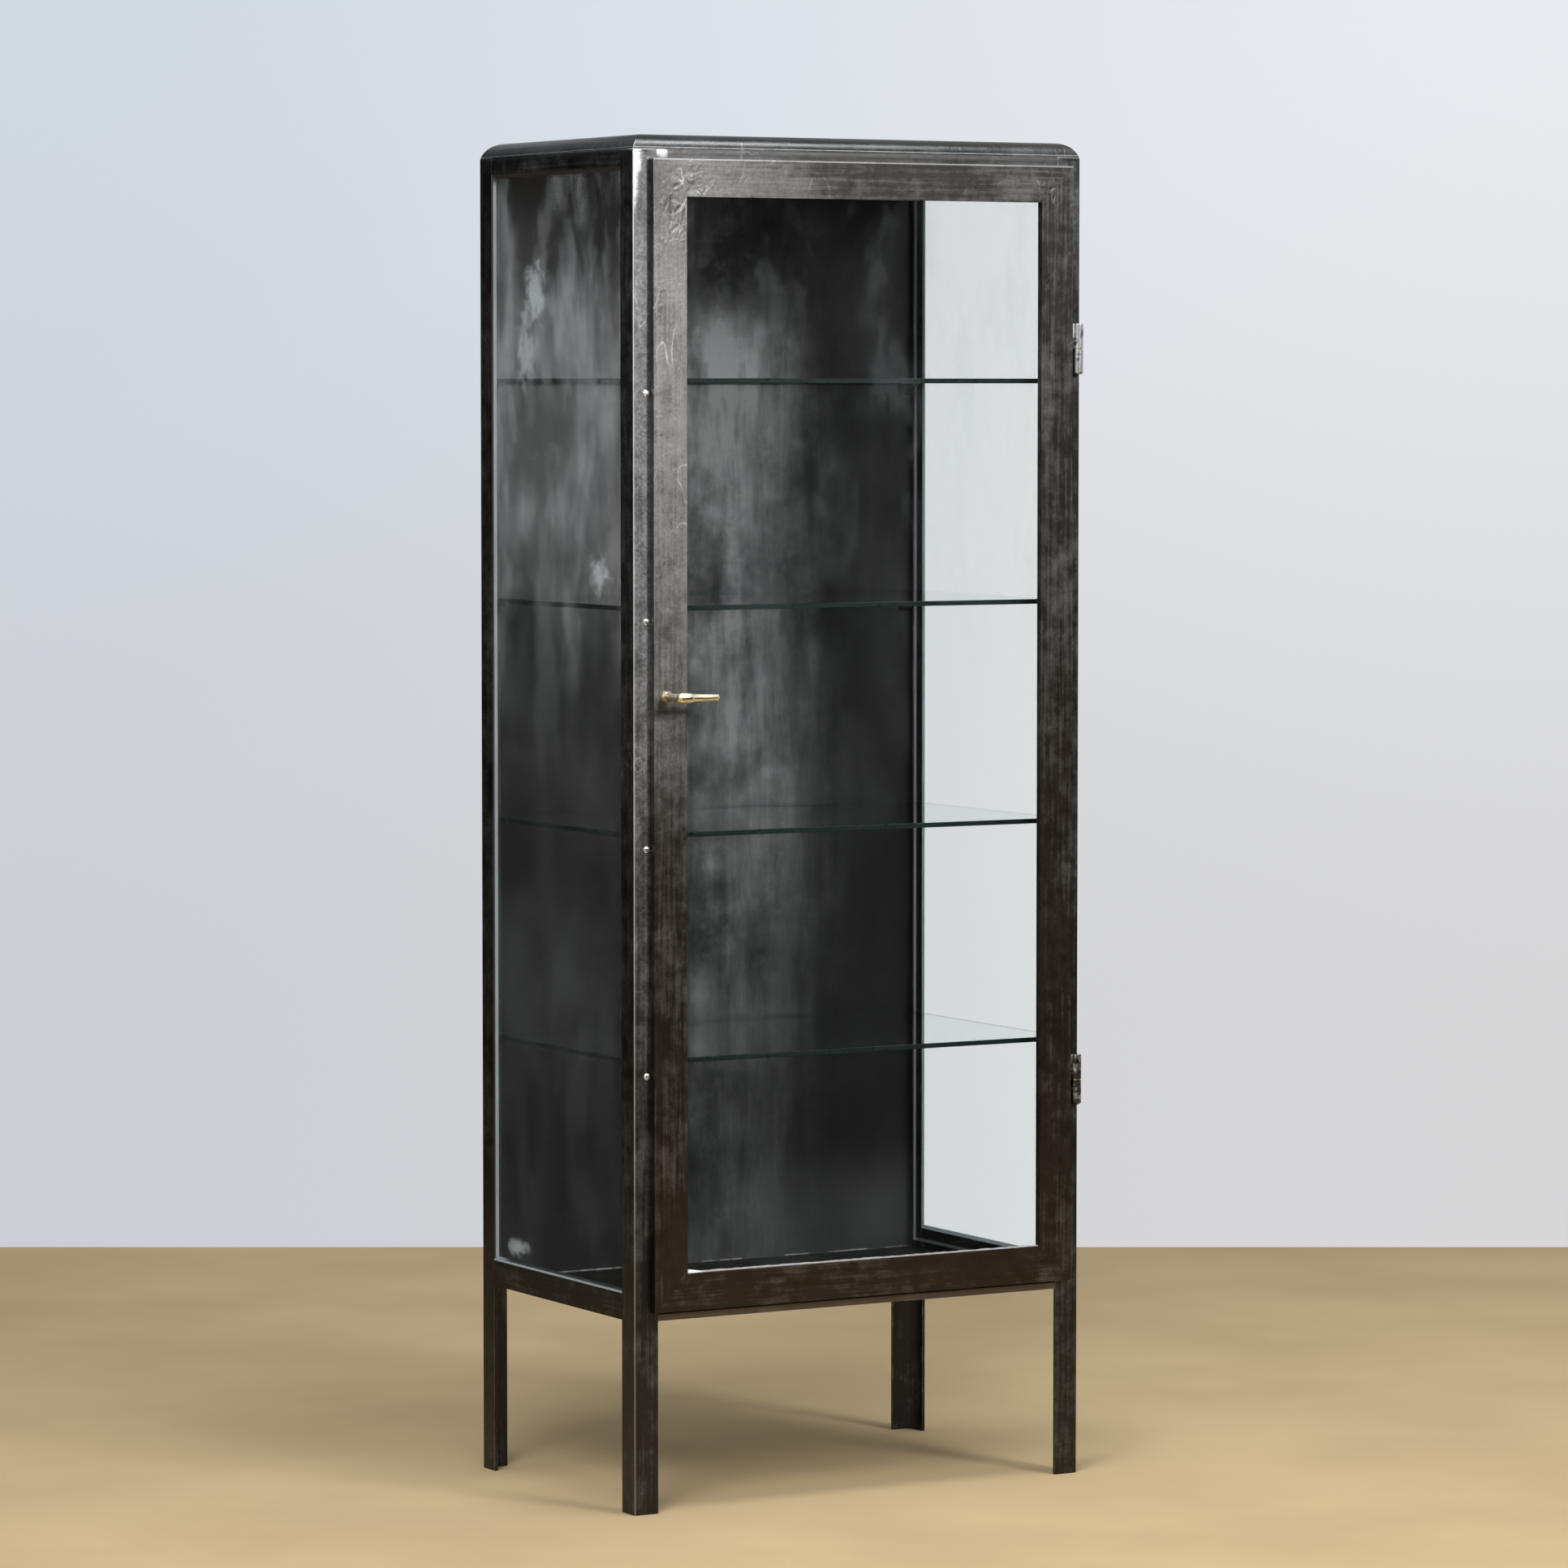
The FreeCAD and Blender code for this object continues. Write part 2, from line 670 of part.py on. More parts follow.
neck_start = rose_front - lever_shoulder_gap
neck = rod(lever_neck_radius, handle_point(neck_start), -Y, neck_start - lever_y)
arm_outline = [
    (0, -lever_boss_radius),
    (lever_boss_radius - lever_boss_chamfer, -lever_boss_radius),
    (lever_boss_radius, lever_boss_chamfer - lever_boss_radius),
    (lever_boss_radius, lever_boss_length),
    (lever_arm_radius, lever_boss_length),
    (lever_arm_radius, lever_length),
    (0, lever_length),
]
arm = turned(arm_outline, handle_point(lever_y), X)
lever = neck.fuse(arm).removeSplitter()
spindle_front = neck_start - spindle_lever_depth
spindle_socket = rod(spindle_bore, handle_point(spindle_front), Y, spindle_lever_depth + cut_overrun)
export("handle_lever", lever.cut(spindle_socket))

# Spindle, latch tongue and nut, which turn with the lever
spindle_end = latch_back + latch_nut_height + spindle_tail
spindle = rod(spindle_radius, handle_point(spindle_front), Y, spindle_end - spindle_front)
export("handle_spindle", spindle)

latch_radius = latch_width / 2
tongue_foot = handle_height - latch_length + latch_radius
tongue_x = (handle_x - latch_radius, handle_x + latch_radius)
tongue = box(tongue_x, (latch_front, latch_back), (tongue_foot, handle_height))
tongue = tongue.fuse([
    rod(latch_radius, handle_point(latch_front), Y, latch_thickness),
    rod(latch_radius, Vector(handle_x, latch_front, tongue_foot), Y, latch_thickness),
]).removeSplitter()
tongue = drilled(tongue, spindle_bore, [handle_point(latch_front)], Y, latch_thickness + cut_overrun)
export("latch_tongue", tongue)
latch_nut = hexagon_nut(latch_nut_flats, latch_nut_height, spindle_bore, handle_point(latch_back), Y)
export("latch_nut", latch_nut)
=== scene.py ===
# %% [markdown]
# # A steel and glass medicine cabinet
# The cabinet is an angle-steel frame on its own legs with a rounded sheet top, glazed sides, a
# smoky sheet back, four glass shelves and one glazed door with a lever latch. The solid model
# gives every piece its size and place. This lesson adds what a solid model lacks: rounded and
# worn edges, patina, wiped glass, slotted screws, light and a camera.

# %% Load the frame
import bpy
import bmesh
import json
import math
import random
from mathutils import Matrix, Vector


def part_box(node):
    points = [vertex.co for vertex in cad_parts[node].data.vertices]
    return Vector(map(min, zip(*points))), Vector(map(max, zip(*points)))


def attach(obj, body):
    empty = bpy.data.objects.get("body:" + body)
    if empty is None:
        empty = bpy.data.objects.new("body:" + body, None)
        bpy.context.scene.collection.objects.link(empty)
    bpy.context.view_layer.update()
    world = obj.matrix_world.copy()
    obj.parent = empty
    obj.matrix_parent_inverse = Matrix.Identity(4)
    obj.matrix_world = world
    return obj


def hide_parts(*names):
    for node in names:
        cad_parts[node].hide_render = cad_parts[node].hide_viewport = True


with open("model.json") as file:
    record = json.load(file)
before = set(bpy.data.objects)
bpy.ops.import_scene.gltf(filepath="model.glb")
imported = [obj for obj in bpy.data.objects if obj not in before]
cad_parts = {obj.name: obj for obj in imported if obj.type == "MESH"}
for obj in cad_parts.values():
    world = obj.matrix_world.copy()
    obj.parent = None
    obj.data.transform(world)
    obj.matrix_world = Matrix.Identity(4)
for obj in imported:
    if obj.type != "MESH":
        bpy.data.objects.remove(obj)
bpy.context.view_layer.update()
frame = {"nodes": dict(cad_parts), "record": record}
nodes = frame["nodes"]

# %% [markdown]
# ## Camera
# A photograph taken from far away with a long lens keeps upright edges nearly parallel. The place
# and turn below come from fitting a simple lens to the corners of the cabinet. A wide lens close
# by could frame the same object, but the legs would splay and the near corner would swell.

# %% Camera
def new_object(name, data):
    """Put a mesh, a lamp or a camera into the scene."""
    thing = bpy.data.objects.new(name, data)
    bpy.context.scene.collection.objects.link(thing)
    return thing


sensor_mm, lens_mm = 36.0, 147.18
camera_place = (-3.9226, -6.8796, 1.3507)
camera_tilt, camera_turn = math.radians(86.454), math.radians(-29.645)

camera_data = bpy.data.cameras.new("camera")
camera_data.sensor_width = sensor_mm
camera_data.lens = lens_mm
camera = new_object("camera", camera_data)
camera.location = camera_place
camera.rotation_euler = (camera_tilt, 0.0, camera_turn)
bpy.context.scene.camera = camera
line_of_sight = camera.rotation_euler.to_matrix() @ Vector((0, 0, -1))
print("camera looks along", tuple(round(v, 3) for v in line_of_sight))

# %% [markdown]
# ## Tools for building a finish
# A finish is a small network of nodes. Wiring each one by hand is long, so one helper makes a
# node, sets its options and joins or fills its inputs in one line. Patterns read object
# coordinates: every piece sits at the origin in metres, so a pattern keeps its real scale and
# runs on from one piece to the next.

# %% A node in one line
def fill(tree, node, inputs):
    """Join what comes from another node, and set plain numbers and colours."""
    for name, value in inputs.items():
        if isinstance(value, bpy.types.NodeSocket):
            tree.links.new(value, node.inputs[name])
        else:
            node.inputs[name].default_value = value


def add(tree, kind, inputs=None, **options):
    """Make a node, set its options, and fill or join its inputs."""
    node = tree.nodes.new("ShaderNode" + kind)
    for name, value in options.items():
        setattr(node, name, value)
    fill(tree, node, inputs or {})
    return node


print("one call makes a node")

# %% A new finish
def where(tree):
    """The place of a point on a piece, in metres."""
    return add(tree, "TexCoord").outputs["Object"]


def start_finish(name):
    """A new material with its node tree, its main shader and the place of each point."""
    finish = bpy.data.materials.new(name)
    finish.use_nodes = True
    tree = finish.node_tree
    return finish, tree, tree.nodes["Principled BSDF"], where(tree)


print("a finish starts from the place of each point")

# %% [markdown]
# ## Patterns, sums and colours
# Three small families of helpers follow. Noise gives clouds and streaks. Sums and products turn
# the place of a point into a mask from 0 to 1. Blends lay one colour over another by such a mask.
# Image textures would be the other way, but noise has no edges, no seams and no fixed resolution.

# %% Patterns
def clouds(tree, coords, scale, detail=5.0, rough=0.6, stretch=(1, 1, 1), shift=(0, 0, 0)):
    """Soft noise from 0 to 1; a stretch below 1 draws it out along that axis."""
    place = add(tree, "Mapping", {"Vector": coords, "Scale": stretch, "Location": shift})
    noise = {"Vector": place.outputs[0], "Scale": scale, "Detail": detail, "Roughness": rough}
    return add(tree, "TexNoise", noise).outputs[0]


def streaks_along(axis, squeeze):
    """The stretch that draws noise out into streaks along one axis."""
    return tuple(squeeze if letter == axis else 1.0 for letter in "XYZ")


def remap(tree, value, old, new=(0.0, 1.0)):
    """Lead a value smoothly from one range to another."""
    ends = {"From Min": old[0], "From Max": old[1], "To Min": new[0], "To Max": new[1]}
    return add(tree, "MapRange", {"Value": value, **ends}, interpolation_type="SMOOTHSTEP").outputs[0]


print("noise and ranges ready")

# %% Sums and products
def calculate(tree, operation, first, second=0.0):
    """Arithmetic on one or two values."""
    return add(tree, "Math", {0: first, 1: second}, operation=operation).outputs[0]


def chain(tree, operation, values):
    """The same arithmetic along a row of values."""
    result = values[0]
    for value in values[1:]:
        result = calculate(tree, operation, result, value)
    return result


def plus(tree, *values):
    return chain(tree, "ADD", values)


def times(tree, *values):
    return chain(tree, "MULTIPLY", values)


def highest(tree, *values):
    return chain(tree, "MAXIMUM", values)


print("sums and products ready")

# %% Distances and parts
def apart(tree, first, second):
    """How far two values are from each other."""
    return calculate(tree, "ABSOLUTE", calculate(tree, "SUBTRACT", first, second))


def clamp(tree, value):
    """A value held between 0 and 1."""
    return add(tree, "Clamp", {"Value": value}).outputs[0]


def part_of(tree, vector, axis):
    """One part of a place or a direction."""
    return add(tree, "SeparateXYZ", {"Vector": vector}).outputs[axis]


print("distances and parts ready")

# %% Colours and relief
def opaque(colour):
    """A plain colour with its fourth number; a colour from another node stays as it is."""
    return colour if isinstance(colour, bpy.types.NodeSocket) else (*colour, 1.0)


def blend_colours(tree, share, first, second):
    """One colour where the share is 0, the other where it is 1."""
    inputs = {0: share, 6: opaque(first), 7: opaque(second)}
    return add(tree, "Mix", inputs, data_type="RGBA").outputs[2]


def emboss(tree, shader, height, strength, depth):
    """Let a pattern raise the surface, on top of any relief that it has already."""
    inputs = {"Strength": strength, "Distance": depth, "Height": height}
    for link in shader.inputs["Normal"].links:
        inputs["Normal"] = link.from_socket
    fill(tree, shader, {"Normal": add(tree, "Bump", inputs).outputs[0]})


def cover(mesh, *finishes):
    """Give a mesh these finishes and no others."""
    mesh.materials.clear()
    for finish in finishes:
        mesh.materials.append(finish)


print("blends and relief ready")

# %% [markdown]
# ## Floor
# A plain pale floor catches the shadow of the legs. It could run on without end, but here it stops
# behind the cabinet, square to the camera, so that its far edge is a level line. Its tone drifts a
# little. It has no gloss, because the dark cards of a later step would be mirrored in it as a line.

# %% Floor
def flat_sheet(name, corners):
    """An object of one face with four corners."""
    mesh = bpy.data.meshes.new(name)
    mesh.from_pydata(corners, [], [(0, 1, 2, 3)])
    return new_object(name, mesh)


near_edge, far_edge, half_span = -9.0, 2.10, 9.0
outline = [(-half_span, near_edge), (half_span, near_edge), (half_span, far_edge), (-half_span, far_edge)]
square_to_camera = Matrix.Rotation(camera_turn, 4, "Z")
studio_floor = flat_sheet("studio_floor", [square_to_camera @ Vector((x, y, 0)) for x, y in outline])

floor_dark, floor_light = (0.50, 0.38, 0.22), (0.56, 0.43, 0.25)
floor_finish, tree, shader, coords = start_finish("pale_floor")
drift = remap(tree, clouds(tree, coords, scale=2.5, detail=3.0, rough=0.5), (0.3, 0.7))
floor_tone = blend_colours(tree, drift, floor_dark, floor_light)
fill(tree, shader, {"Base Color": floor_tone, "Specular IOR Level": 0.0, "Roughness": 0.55})
cover(studio_floor.data, floor_finish)
print("floor reaches", far_edge, "m past the origin")

# %% [markdown]
# ## Pale background
# Beyond the floor the world is a pale cool grey, lighter to the right and higher up. The camera,
# the panes and the polished steel see it, while the light that falls on the cabinet stays moderate.
# A backdrop sheet would do as well, but the world has no edge, from whichever side one looks.

# %% Pale background
# Each pair of tones is for the left and for the right.
low_tones = (0.61, 0.62, 0.66), (0.68, 0.68, 0.69)
high_tones = (0.63, 0.70, 0.75), (0.81, 0.825, 0.865)
pane_tones = (0.68, 0.72, 0.77), (0.985, 1.0, 1.0)
soft_light = (0.42, 0.43, 0.45)
left_to_right, low_to_high = (0.38, 0.60), (-0.10, 0.06)

world = bpy.data.worlds.new("pale_room")
bpy.context.scene.world = world
world.use_nodes = True
tree = world.node_tree
rays = add(tree, "LightPath").outputs
through_pane = rays["Is Transmission Ray"]
towards = add(tree, "TexCoord").outputs["Generated"]
rightward = remap(tree, part_of(tree, towards, "X"), left_to_right)
upward = remap(tree, part_of(tree, towards, "Z"), low_to_high)
low, high, behind_pane = [
    blend_colours(tree, rightward, *tones) for tones in (low_tones, high_tones, pane_tones)
]
background = blend_colours(tree, through_pane, blend_colours(tree, upward, low, high), behind_pane)
seen = highest(tree, rays["Is Camera Ray"], through_pane, rays["Is Glossy Ray"])
world_tone = blend_colours(tree, seen, soft_light, background)
fill(tree, tree.nodes["Background"], {"Color": world_tone})
bpy.context.scene.view_settings.view_transform = "Standard"
print("world nodes:", len(tree.nodes))

# %% [markdown]
# ## Lamps
# Three soft lamps: a large key high on the left, a broad ceiling lamp for the rounded top, and a
# front lamp above the mirror direction of the door. Glass mirrors sharply and steel mirrors softly,
# so this lamp brightens the upper steel and stays out of the panes. One strong lamp would be
# simpler, but it leaves the frame black on one side.

# %% Lamps
def soft_lamp(name, place, target, size, power, colour):
    """A round soft lamp that looks at its target."""
    lamp_data = bpy.data.lights.new(name, "AREA")
    lamp_data.shape = "DISK"
    lamp_data.size = size
    lamp_data.energy = power
    lamp_data.color = colour
    lamp = new_object(name, lamp_data)
    lamp.location = place
    lamp.rotation_euler = (Vector(target) - Vector(place)).to_track_quat("-Z", "Y").to_euler()
    return lamp


warm, cool, neutral = (1.0, 0.98, 0.96), (0.96, 0.98, 1.0), (1.0, 0.99, 0.97)
lamps = [
    soft_lamp("key_lamp", (-2.6, -2.6, 3.4), (0, 0, 0.9), size=1.8, power=95.0, colour=warm),
    soft_lamp("ceiling_lamp", (0.0, -0.7, 3.6), (0, 0, 1.2), size=2.6, power=45.0, colour=cool),
    soft_lamp("front_lamp", (1.3, -4.0, 2.9), (-0.2, -0.2, 1.1), size=1.2, power=92.0, colour=neutral),
]
ceiling_data = lamps[1].data
ceiling_data.shape = "RECTANGLE"
ceiling_data.size_y = 0.7
print("lamps:", len(lamps), "watts:", sum(lamp.data.energy for lamp in lamps))

# %% [markdown]
# ## Dark cards
# Two dark cards stand where the panes would mirror the pale room, as black cards do in a studio.
# Darker glass would hide what stands behind it. Only light that a pane or the steel has thrown back
# shows the cards; a straight look through a pane shows the room. Each card fades out towards its
# top, so no hard line is mirrored.

# %% Dark cards
felt_tone = (0.03, 0.027, 0.024)


def dark_card(name, centre, looks, width, height, fade):
    """A dark card that shows only in reflections and fades out between two heights."""
    across = Vector((-looks[1], looks[0], 0)).normalized() * (width / 2)
    up = Vector((0, 0, height / 2))
    corners = [Vector(centre) + across * x + up * z for x, z in ((-1, -1), (1, -1), (1, 1), (-1, 1))]
    card = flat_sheet(name, corners)
    for kind in ("camera", "diffuse", "shadow", "volume_scatter"):
        setattr(card, "visible_" + kind, False)
    finish, tree, _, coords = start_finish(name)
    felt = add(tree, "BsdfDiffuse", {"Color": opaque(felt_tone)}).outputs[0]
    clear = add(tree, "BsdfTransparent").outputs[0]
    thrown_back = calculate(tree, "GREATER_THAN", add(tree, "LightPath").outputs["Glossy Depth"], 0.5)
    shown = times(tree, thrown_back, remap(tree, part_of(tree, coords, "Z"), fade, (1.0, 0.0)))
    surface = add(tree, "MixShader", {0: shown, 1: clear, 2: felt}).outputs[0]
    fill(tree, tree.nodes["Material Output"], {"Surface": surface})
    cover(card.data, finish)
    return card


cards = [
    dark_card("front_card", (0.8, -1.6, 0.95), (0, 1), width=2.4, height=1.90, fade=(1.66, 1.90)),
    dark_card("side_card", (-1.25, 1.5, 1.35), (1, -0.8), width=3.2, height=2.7, fade=(1.9, 2.7)),
]
print("cards:", [card.name for card in cards])

# %% [markdown]
# ## Patinated steel
# Old bare steel is not one grey. Oil and heat leave it brown-black, hands and cloths polish it lighter higher
# up, and the mill leaves fine grain along each bar. The finish mixes a dark and a worn tone through cloudy
# noise, adds grain stretched along the bar, and lets roughness follow both, so that highlights break up as
# they do on real metal. The mix also holds painted light. Part of the rise with height is painted light from
# above, and the steel is painted lighter to the left. It is painted darker just below the top and on faces
# turned to the left.

# %% Directions and scratches
def facing(tree, axis):
    """One part of the direction in which a surface looks."""
    return part_of(tree, add(tree, "TexCoord").outputs["Normal"], axis)


def scratches(tree, coords):
    """Thin curled lines: the level lines of a soft noise, kept in a few patches."""
    drawn, moved = (1.6, 1, 0.7), (0.37, 0.2, 0.11)
    curls = clouds(tree, coords, scale=16.0, detail=1.5, rough=0.4, stretch=drawn, shift=moved)
    lines = remap(tree, apart(tree, curls, 0.5), (0.0, 0.009), (1.0, 0.0))
    patches = clouds(tree, coords, scale=9.0, detail=2.0, rough=0.5, shift=(0.9, 0.4, 0.6))
    return times(tree, lines, remap(tree, patches, (0.50, 0.62)))


print("directions and scratches ready")

# %% Wear and painted light
def wear_and_light_mask(tree, coords, fine, grain, polish_and_light, right_light_share, speckle):
    """How far the patina is rubbed off, with painted light in it: more with height, partly painted light from
    above; painted lighter to the left; painted shade just below the top and on faces turned left.
    """
    height = part_of(tree, coords, "Z")
    rubbed = times(
        tree,
        # More with height: rubbing, and painted light from above.
        remap(tree, height, polish_and_light),
        # Painted shade just below the top, where the front lamp's highlight is strongest.
        remap(tree, height, (1.36, 1.60), (1.0, 0.45)),
        # Painted light: lighter to the left, darker to the right.
        remap(tree, part_of(tree, coords, "X"), (-0.28, 0.0), (1.0, right_light_share)),
        # Painted shade on faces turned to the left.
        remap(tree, facing(tree, "X"), (-0.75, -0.35), (0.4, 1.0)),
    )
    blotches = clouds(tree, coords, scale=6.0, detail=6.0, rough=0.62)
    uneven = plus(
        tree,
        remap(tree, blotches, (0.30, 0.70), (-0.20, 0.20)),
        remap(tree, fine, (0.30, 0.72), (-0.14, 0.14)),
        remap(tree, grain, (0.35, 0.65), (-0.10, 0.10)),
    )
    pits = clouds(tree, coords, scale=260.0, detail=4.0, rough=0.75)
    pitted = remap(tree, pits, (0.40, 0.62), (speckle, 1.06))
    return clamp(tree, times(tree, plus(tree, rubbed, uneven), pitted))


print("wear mask ready")

# %% Patinated steel
scratch_grey = (0.62, 0.62, 0.62)


def patinated_steel(name, dark, worn, grain_axis, polish_and_light, rough=(0.34, 0.52), right_light_share=1.0, speckle=0.75):
    """Bare steel with grain along one axis; its patina is greyer with height, rubbed off in places and
    painted with light and shade.
    """
    finish, tree, shader, coords = start_finish(name)
    fine = clouds(tree, coords, scale=38.0, detail=6.0, rough=0.7)
    grain = clouds(tree, coords, scale=300.0, detail=3.0, rough=0.6, stretch=streaks_along(grain_axis, 0.03))
    wear_and_light = wear_and_light_mask(tree, coords, fine, grain, polish_and_light, right_light_share, speckle)
    grey = (sum(dark) / 3,) * 3
    greyer = remap(tree, part_of(tree, coords, "Z"), (0.9, 1.5), (0.0, 0.8))
    tone = blend_colours(tree, wear_and_light, blend_colours(tree, greyer, dark, grey), worn)
    fewer_on_top = remap(tree, facing(tree, "Z"), (0.5, 0.9), (0.75, 0.15))
    marks = times(tree, scratches(tree, coords), wear_and_light, fewer_on_top)
    spread = plus(tree, times(tree, grain, 0.3), times(tree, fine, 0.7))
    fill(tree, shader, {
        "Base Color": blend_colours(tree, marks, tone, scratch_grey),
        "Metallic": 1.0,
        "Roughness": remap(tree, spread, (0.3, 0.7), rough),
    })
    knocks = clouds(tree, coords, scale=55.0, detail=2.0, rough=0.5, shift=(0.3, 0.1, 0.2))
    relief = plus(tree, times(tree, grain, 0.25), fine, times(tree, remap(tree, knocks, (0.56, 0.70)), 0.7))
    emboss(tree, shader, relief, strength=0.2, depth=0.0006)
    return finish


print("patinated steel ready")

# %% [markdown]
# ## Ground welds, a painted highlight and painted shade
# The bars were welded, and a grinder left bright steel behind: a patch at the top of the front left corner,
# and a spot at the end of the top rail. Below the patch, a painted highlight runs as a thin line down the
# rounded edge of the corner. A picture could be painted on, but a mask made from the place and direction of
# the surface needs no picture and stays sharp. Noise makes its border ragged. Painted shade darkens the fold
# under the top in the same way.

# %% Masks laid over a finish
def lay_over(finish, mask, colour):
    """Lay a colour over a finish where the mask is 1."""
    tree = finish.node_tree
    shader = tree.nodes["Principled BSDF"]
    under = shader.inputs["Base Color"].links[0].from_socket
    fill(tree, shader, {"Base Color": blend_colours(tree, mask, under, colour)})


def ragged_spot(tree, coords, centre, half_size, soft):
    """A mask that is 1 inside a ragged spot; along an axis with half size 0 the spot runs through."""
    scale = [1 / size if size else 0.0 for size in half_size]
    shift = [-place * factor for place, factor in zip(centre, scale)]
    place = add(tree, "Mapping", {"Vector": coords, "Scale": scale, "Location": shift}).outputs[0]
    away = add(tree, "VectorMath", {0: place}, operation="LENGTH").outputs["Value"]
    ragged = remap(tree, clouds(tree, coords, scale=70.0, detail=5.0, rough=0.7), (0.3, 0.7), (-0.4, 0.4))
    return remap(tree, plus(tree, away, ragged), (1.0 - soft, 1.05), (1.0, 0.0))


def height_band(finish, heights, shares, colour):
    """A colour that comes or goes between two heights."""
    tree = finish.node_tree
    lay_over(finish, remap(tree, part_of(tree, where(tree), "Z"), heights, shares), colour)


print("masks ready")

# %% Ground corner and painted highlight
left_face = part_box("upright_front_left")[0].x
cap_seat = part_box("top_cap")[0].z
ground_and_highlight_bright = (0.66, 0.67, 0.69)


def ground_corner_and_highlight(finish):
    """A ground bright patch at the top of the front left corner, and a painted highlight as a thin line down
    its rounded edge.
    """
    tree = finish.node_tree
    coords = where(tree)
    height = part_of(tree, coords, "Z")
    inward = calculate(tree, "SUBTRACT", part_of(tree, coords, "X"), left_face)
    rounding = calculate(tree, "ABSOLUTE", times(tree, facing(tree, "X"), facing(tree, "Y")))
    # Painted highlight: a thin line down the rounded front left edge, brighter higher up.
    arris_highlight = times(
        tree,
        remap(tree, rounding, (0.25, 0.45)),
        remap(tree, inward, (0.0025, 0.0037), (1.0, 0.0)),
        remap(tree, height, (0.1, 1.5), (0.35, 0.9)),
    )
    ragged = remap(tree, clouds(tree, coords, scale=60.0, detail=5.0, rough=0.7), (0.3, 0.7), (-0.003, 0.003))
    reach = plus(tree, remap(tree, height, (cap_seat - 0.072, cap_seat), (0.0, 0.010)), ragged)
    patch = times(
        tree,
        remap(tree, calculate(tree, "SUBTRACT", reach, inward), (-0.0065, 0.0025)),
        remap(tree, facing(tree, "Y"), (-0.7, -0.4), (1.0, 0.0)),
        remap(tree, height, (cap_seat - 0.082, cap_seat - 0.062)),
    )
    front = remap(tree, part_of(tree, coords, "Y"), (-0.1, 0.0), (1.0, 0.0))
    lay_over(finish, times(tree, highest(tree, arris_highlight, patch), front), ground_and_highlight_bright)


print("left face at", round(left_face, 4), "and seat of the top at", round(cap_seat, 4))

# %% Rail end and painted shade in the fold
rail_end_tone, lip_shade_tone = (0.50, 0.51, 0.53), (0.05, 0.048, 0.046)


def ground_rail_end(finish):
    """A bright spot where the top rail meets the front left upright."""
    tree = finish.node_tree
    centre = (left_face + 0.0395, 0, cap_seat - 0.005)
    spot = ragged_spot(tree, where(tree), centre, half_size=(0.011, 0, 0.008), soft=0.8)
    lay_over(finish, times(tree, spot, 0.85), rail_end_tone)


def darken_lip(finish):
    """Painted shade in the fold just under the top."""
    height_band(finish, (cap_seat - 0.010, cap_seat - 0.003), (0.0, 0.75), lip_shade_tone)


print("rail end and fold ready")

# %% [markdown]
# ## Hammered corners
# The door's upper corners were hammered flat after welding. They keep small facets, and short
# bright strokes where the facets meet. Modelled dents would cost many faces for a tenth of a
# millimetre, so a cell pattern gives both: its borders are the strokes, its cells the facets.

# %% Hammered corners
door_low = Vector((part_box("door_stile_left")[0].x, 0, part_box("door_rail_bottom")[0].z))
door_high = Vector((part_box("door_stile_right")[1].x, 0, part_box("door_rail_top")[1].z))
stroke_tone = (0.60, 0.60, 0.61)


def hammered_corners(finish):
    """Facets and short bright strokes at the door's upper corners."""
    tree = finish.node_tree
    coords = where(tree)
    left_corner = (door_low.x + 0.040, 0, door_high.z - 0.051)
    right_corner = (door_high.x - 0.0345, 0, door_high.z - 0.030)
    left = ragged_spot(tree, coords, left_corner, half_size=(0.045, 0, 0.060), soft=0.9)
    right = ragged_spot(tree, coords, right_corner, half_size=(0.022, 0, 0.024), soft=0.9)
    zone = highest(tree, left, times(tree, right, 0.7))
    flat = add(tree, "Mapping", {"Vector": coords, "Scale": (1, 0, 0.7)}).outputs[0]
    cells = add(tree, "TexVoronoi", {"Vector": flat, "Scale": 85.0}, feature="DISTANCE_TO_EDGE")
    border = cells.outputs["Distance"]
    broken = clouds(tree, coords, scale=50.0, detail=2.0, rough=0.5, shift=(0.2, 0.0, 0.7))
    strokes = times(tree, remap(tree, border, (0.0, 0.07), (1.0, 0.0)), remap(tree, broken, (0.50, 0.60)))
    lay_over(finish, times(tree, strokes, zone, 0.7), stroke_tone)
    facets = times(tree, remap(tree, border, (0.0, 0.3)), zone)
    emboss(tree, tree.nodes["Principled BSDF"], facets, strength=0.3, depth=0.0010)


print("door from", [round(v, 4) for v in door_low], "to", [round(v, 4) for v in door_high])

# %% [markdown]
# ## Steel tones
# Each kind of bar gets its own pair of tones and its own grain direction. The door is browner than the frame
# and the top is nearly black. The sides are darker than the front, which is painted shade. The front bottom
# rail is lighter, which is painted light where the door shades it. Thin level bands add a painted highlight
# along the upper edge of the door and a painted black shadow below it. One steel for all would be shorter,
# but the bars came from different stock and were handled differently, and it shows; the painted light also
# differs from bar to bar.

# %% Frame steel
frame_dark, frame_worn = (0.045, 0.042, 0.040), (0.31, 0.314, 0.324)
top_rail_worn = (0.17, 0.172, 0.177)
# Painted light: the lighter dark tone of the front bottom rail in the door's shadow. Painted shade: the
# darker side tone. Painted shadow: the black under the door.
low_rail_painted_light, side_painted_shade, door_shadow_black = (0.15, 0.125, 0.11), (0.034, 0.033, 0.033), (0.006, 0.006, 0.006)
bar_polish_and_light, rail_polish_and_light = (0.15, 1.20), (0.45, 1.25)

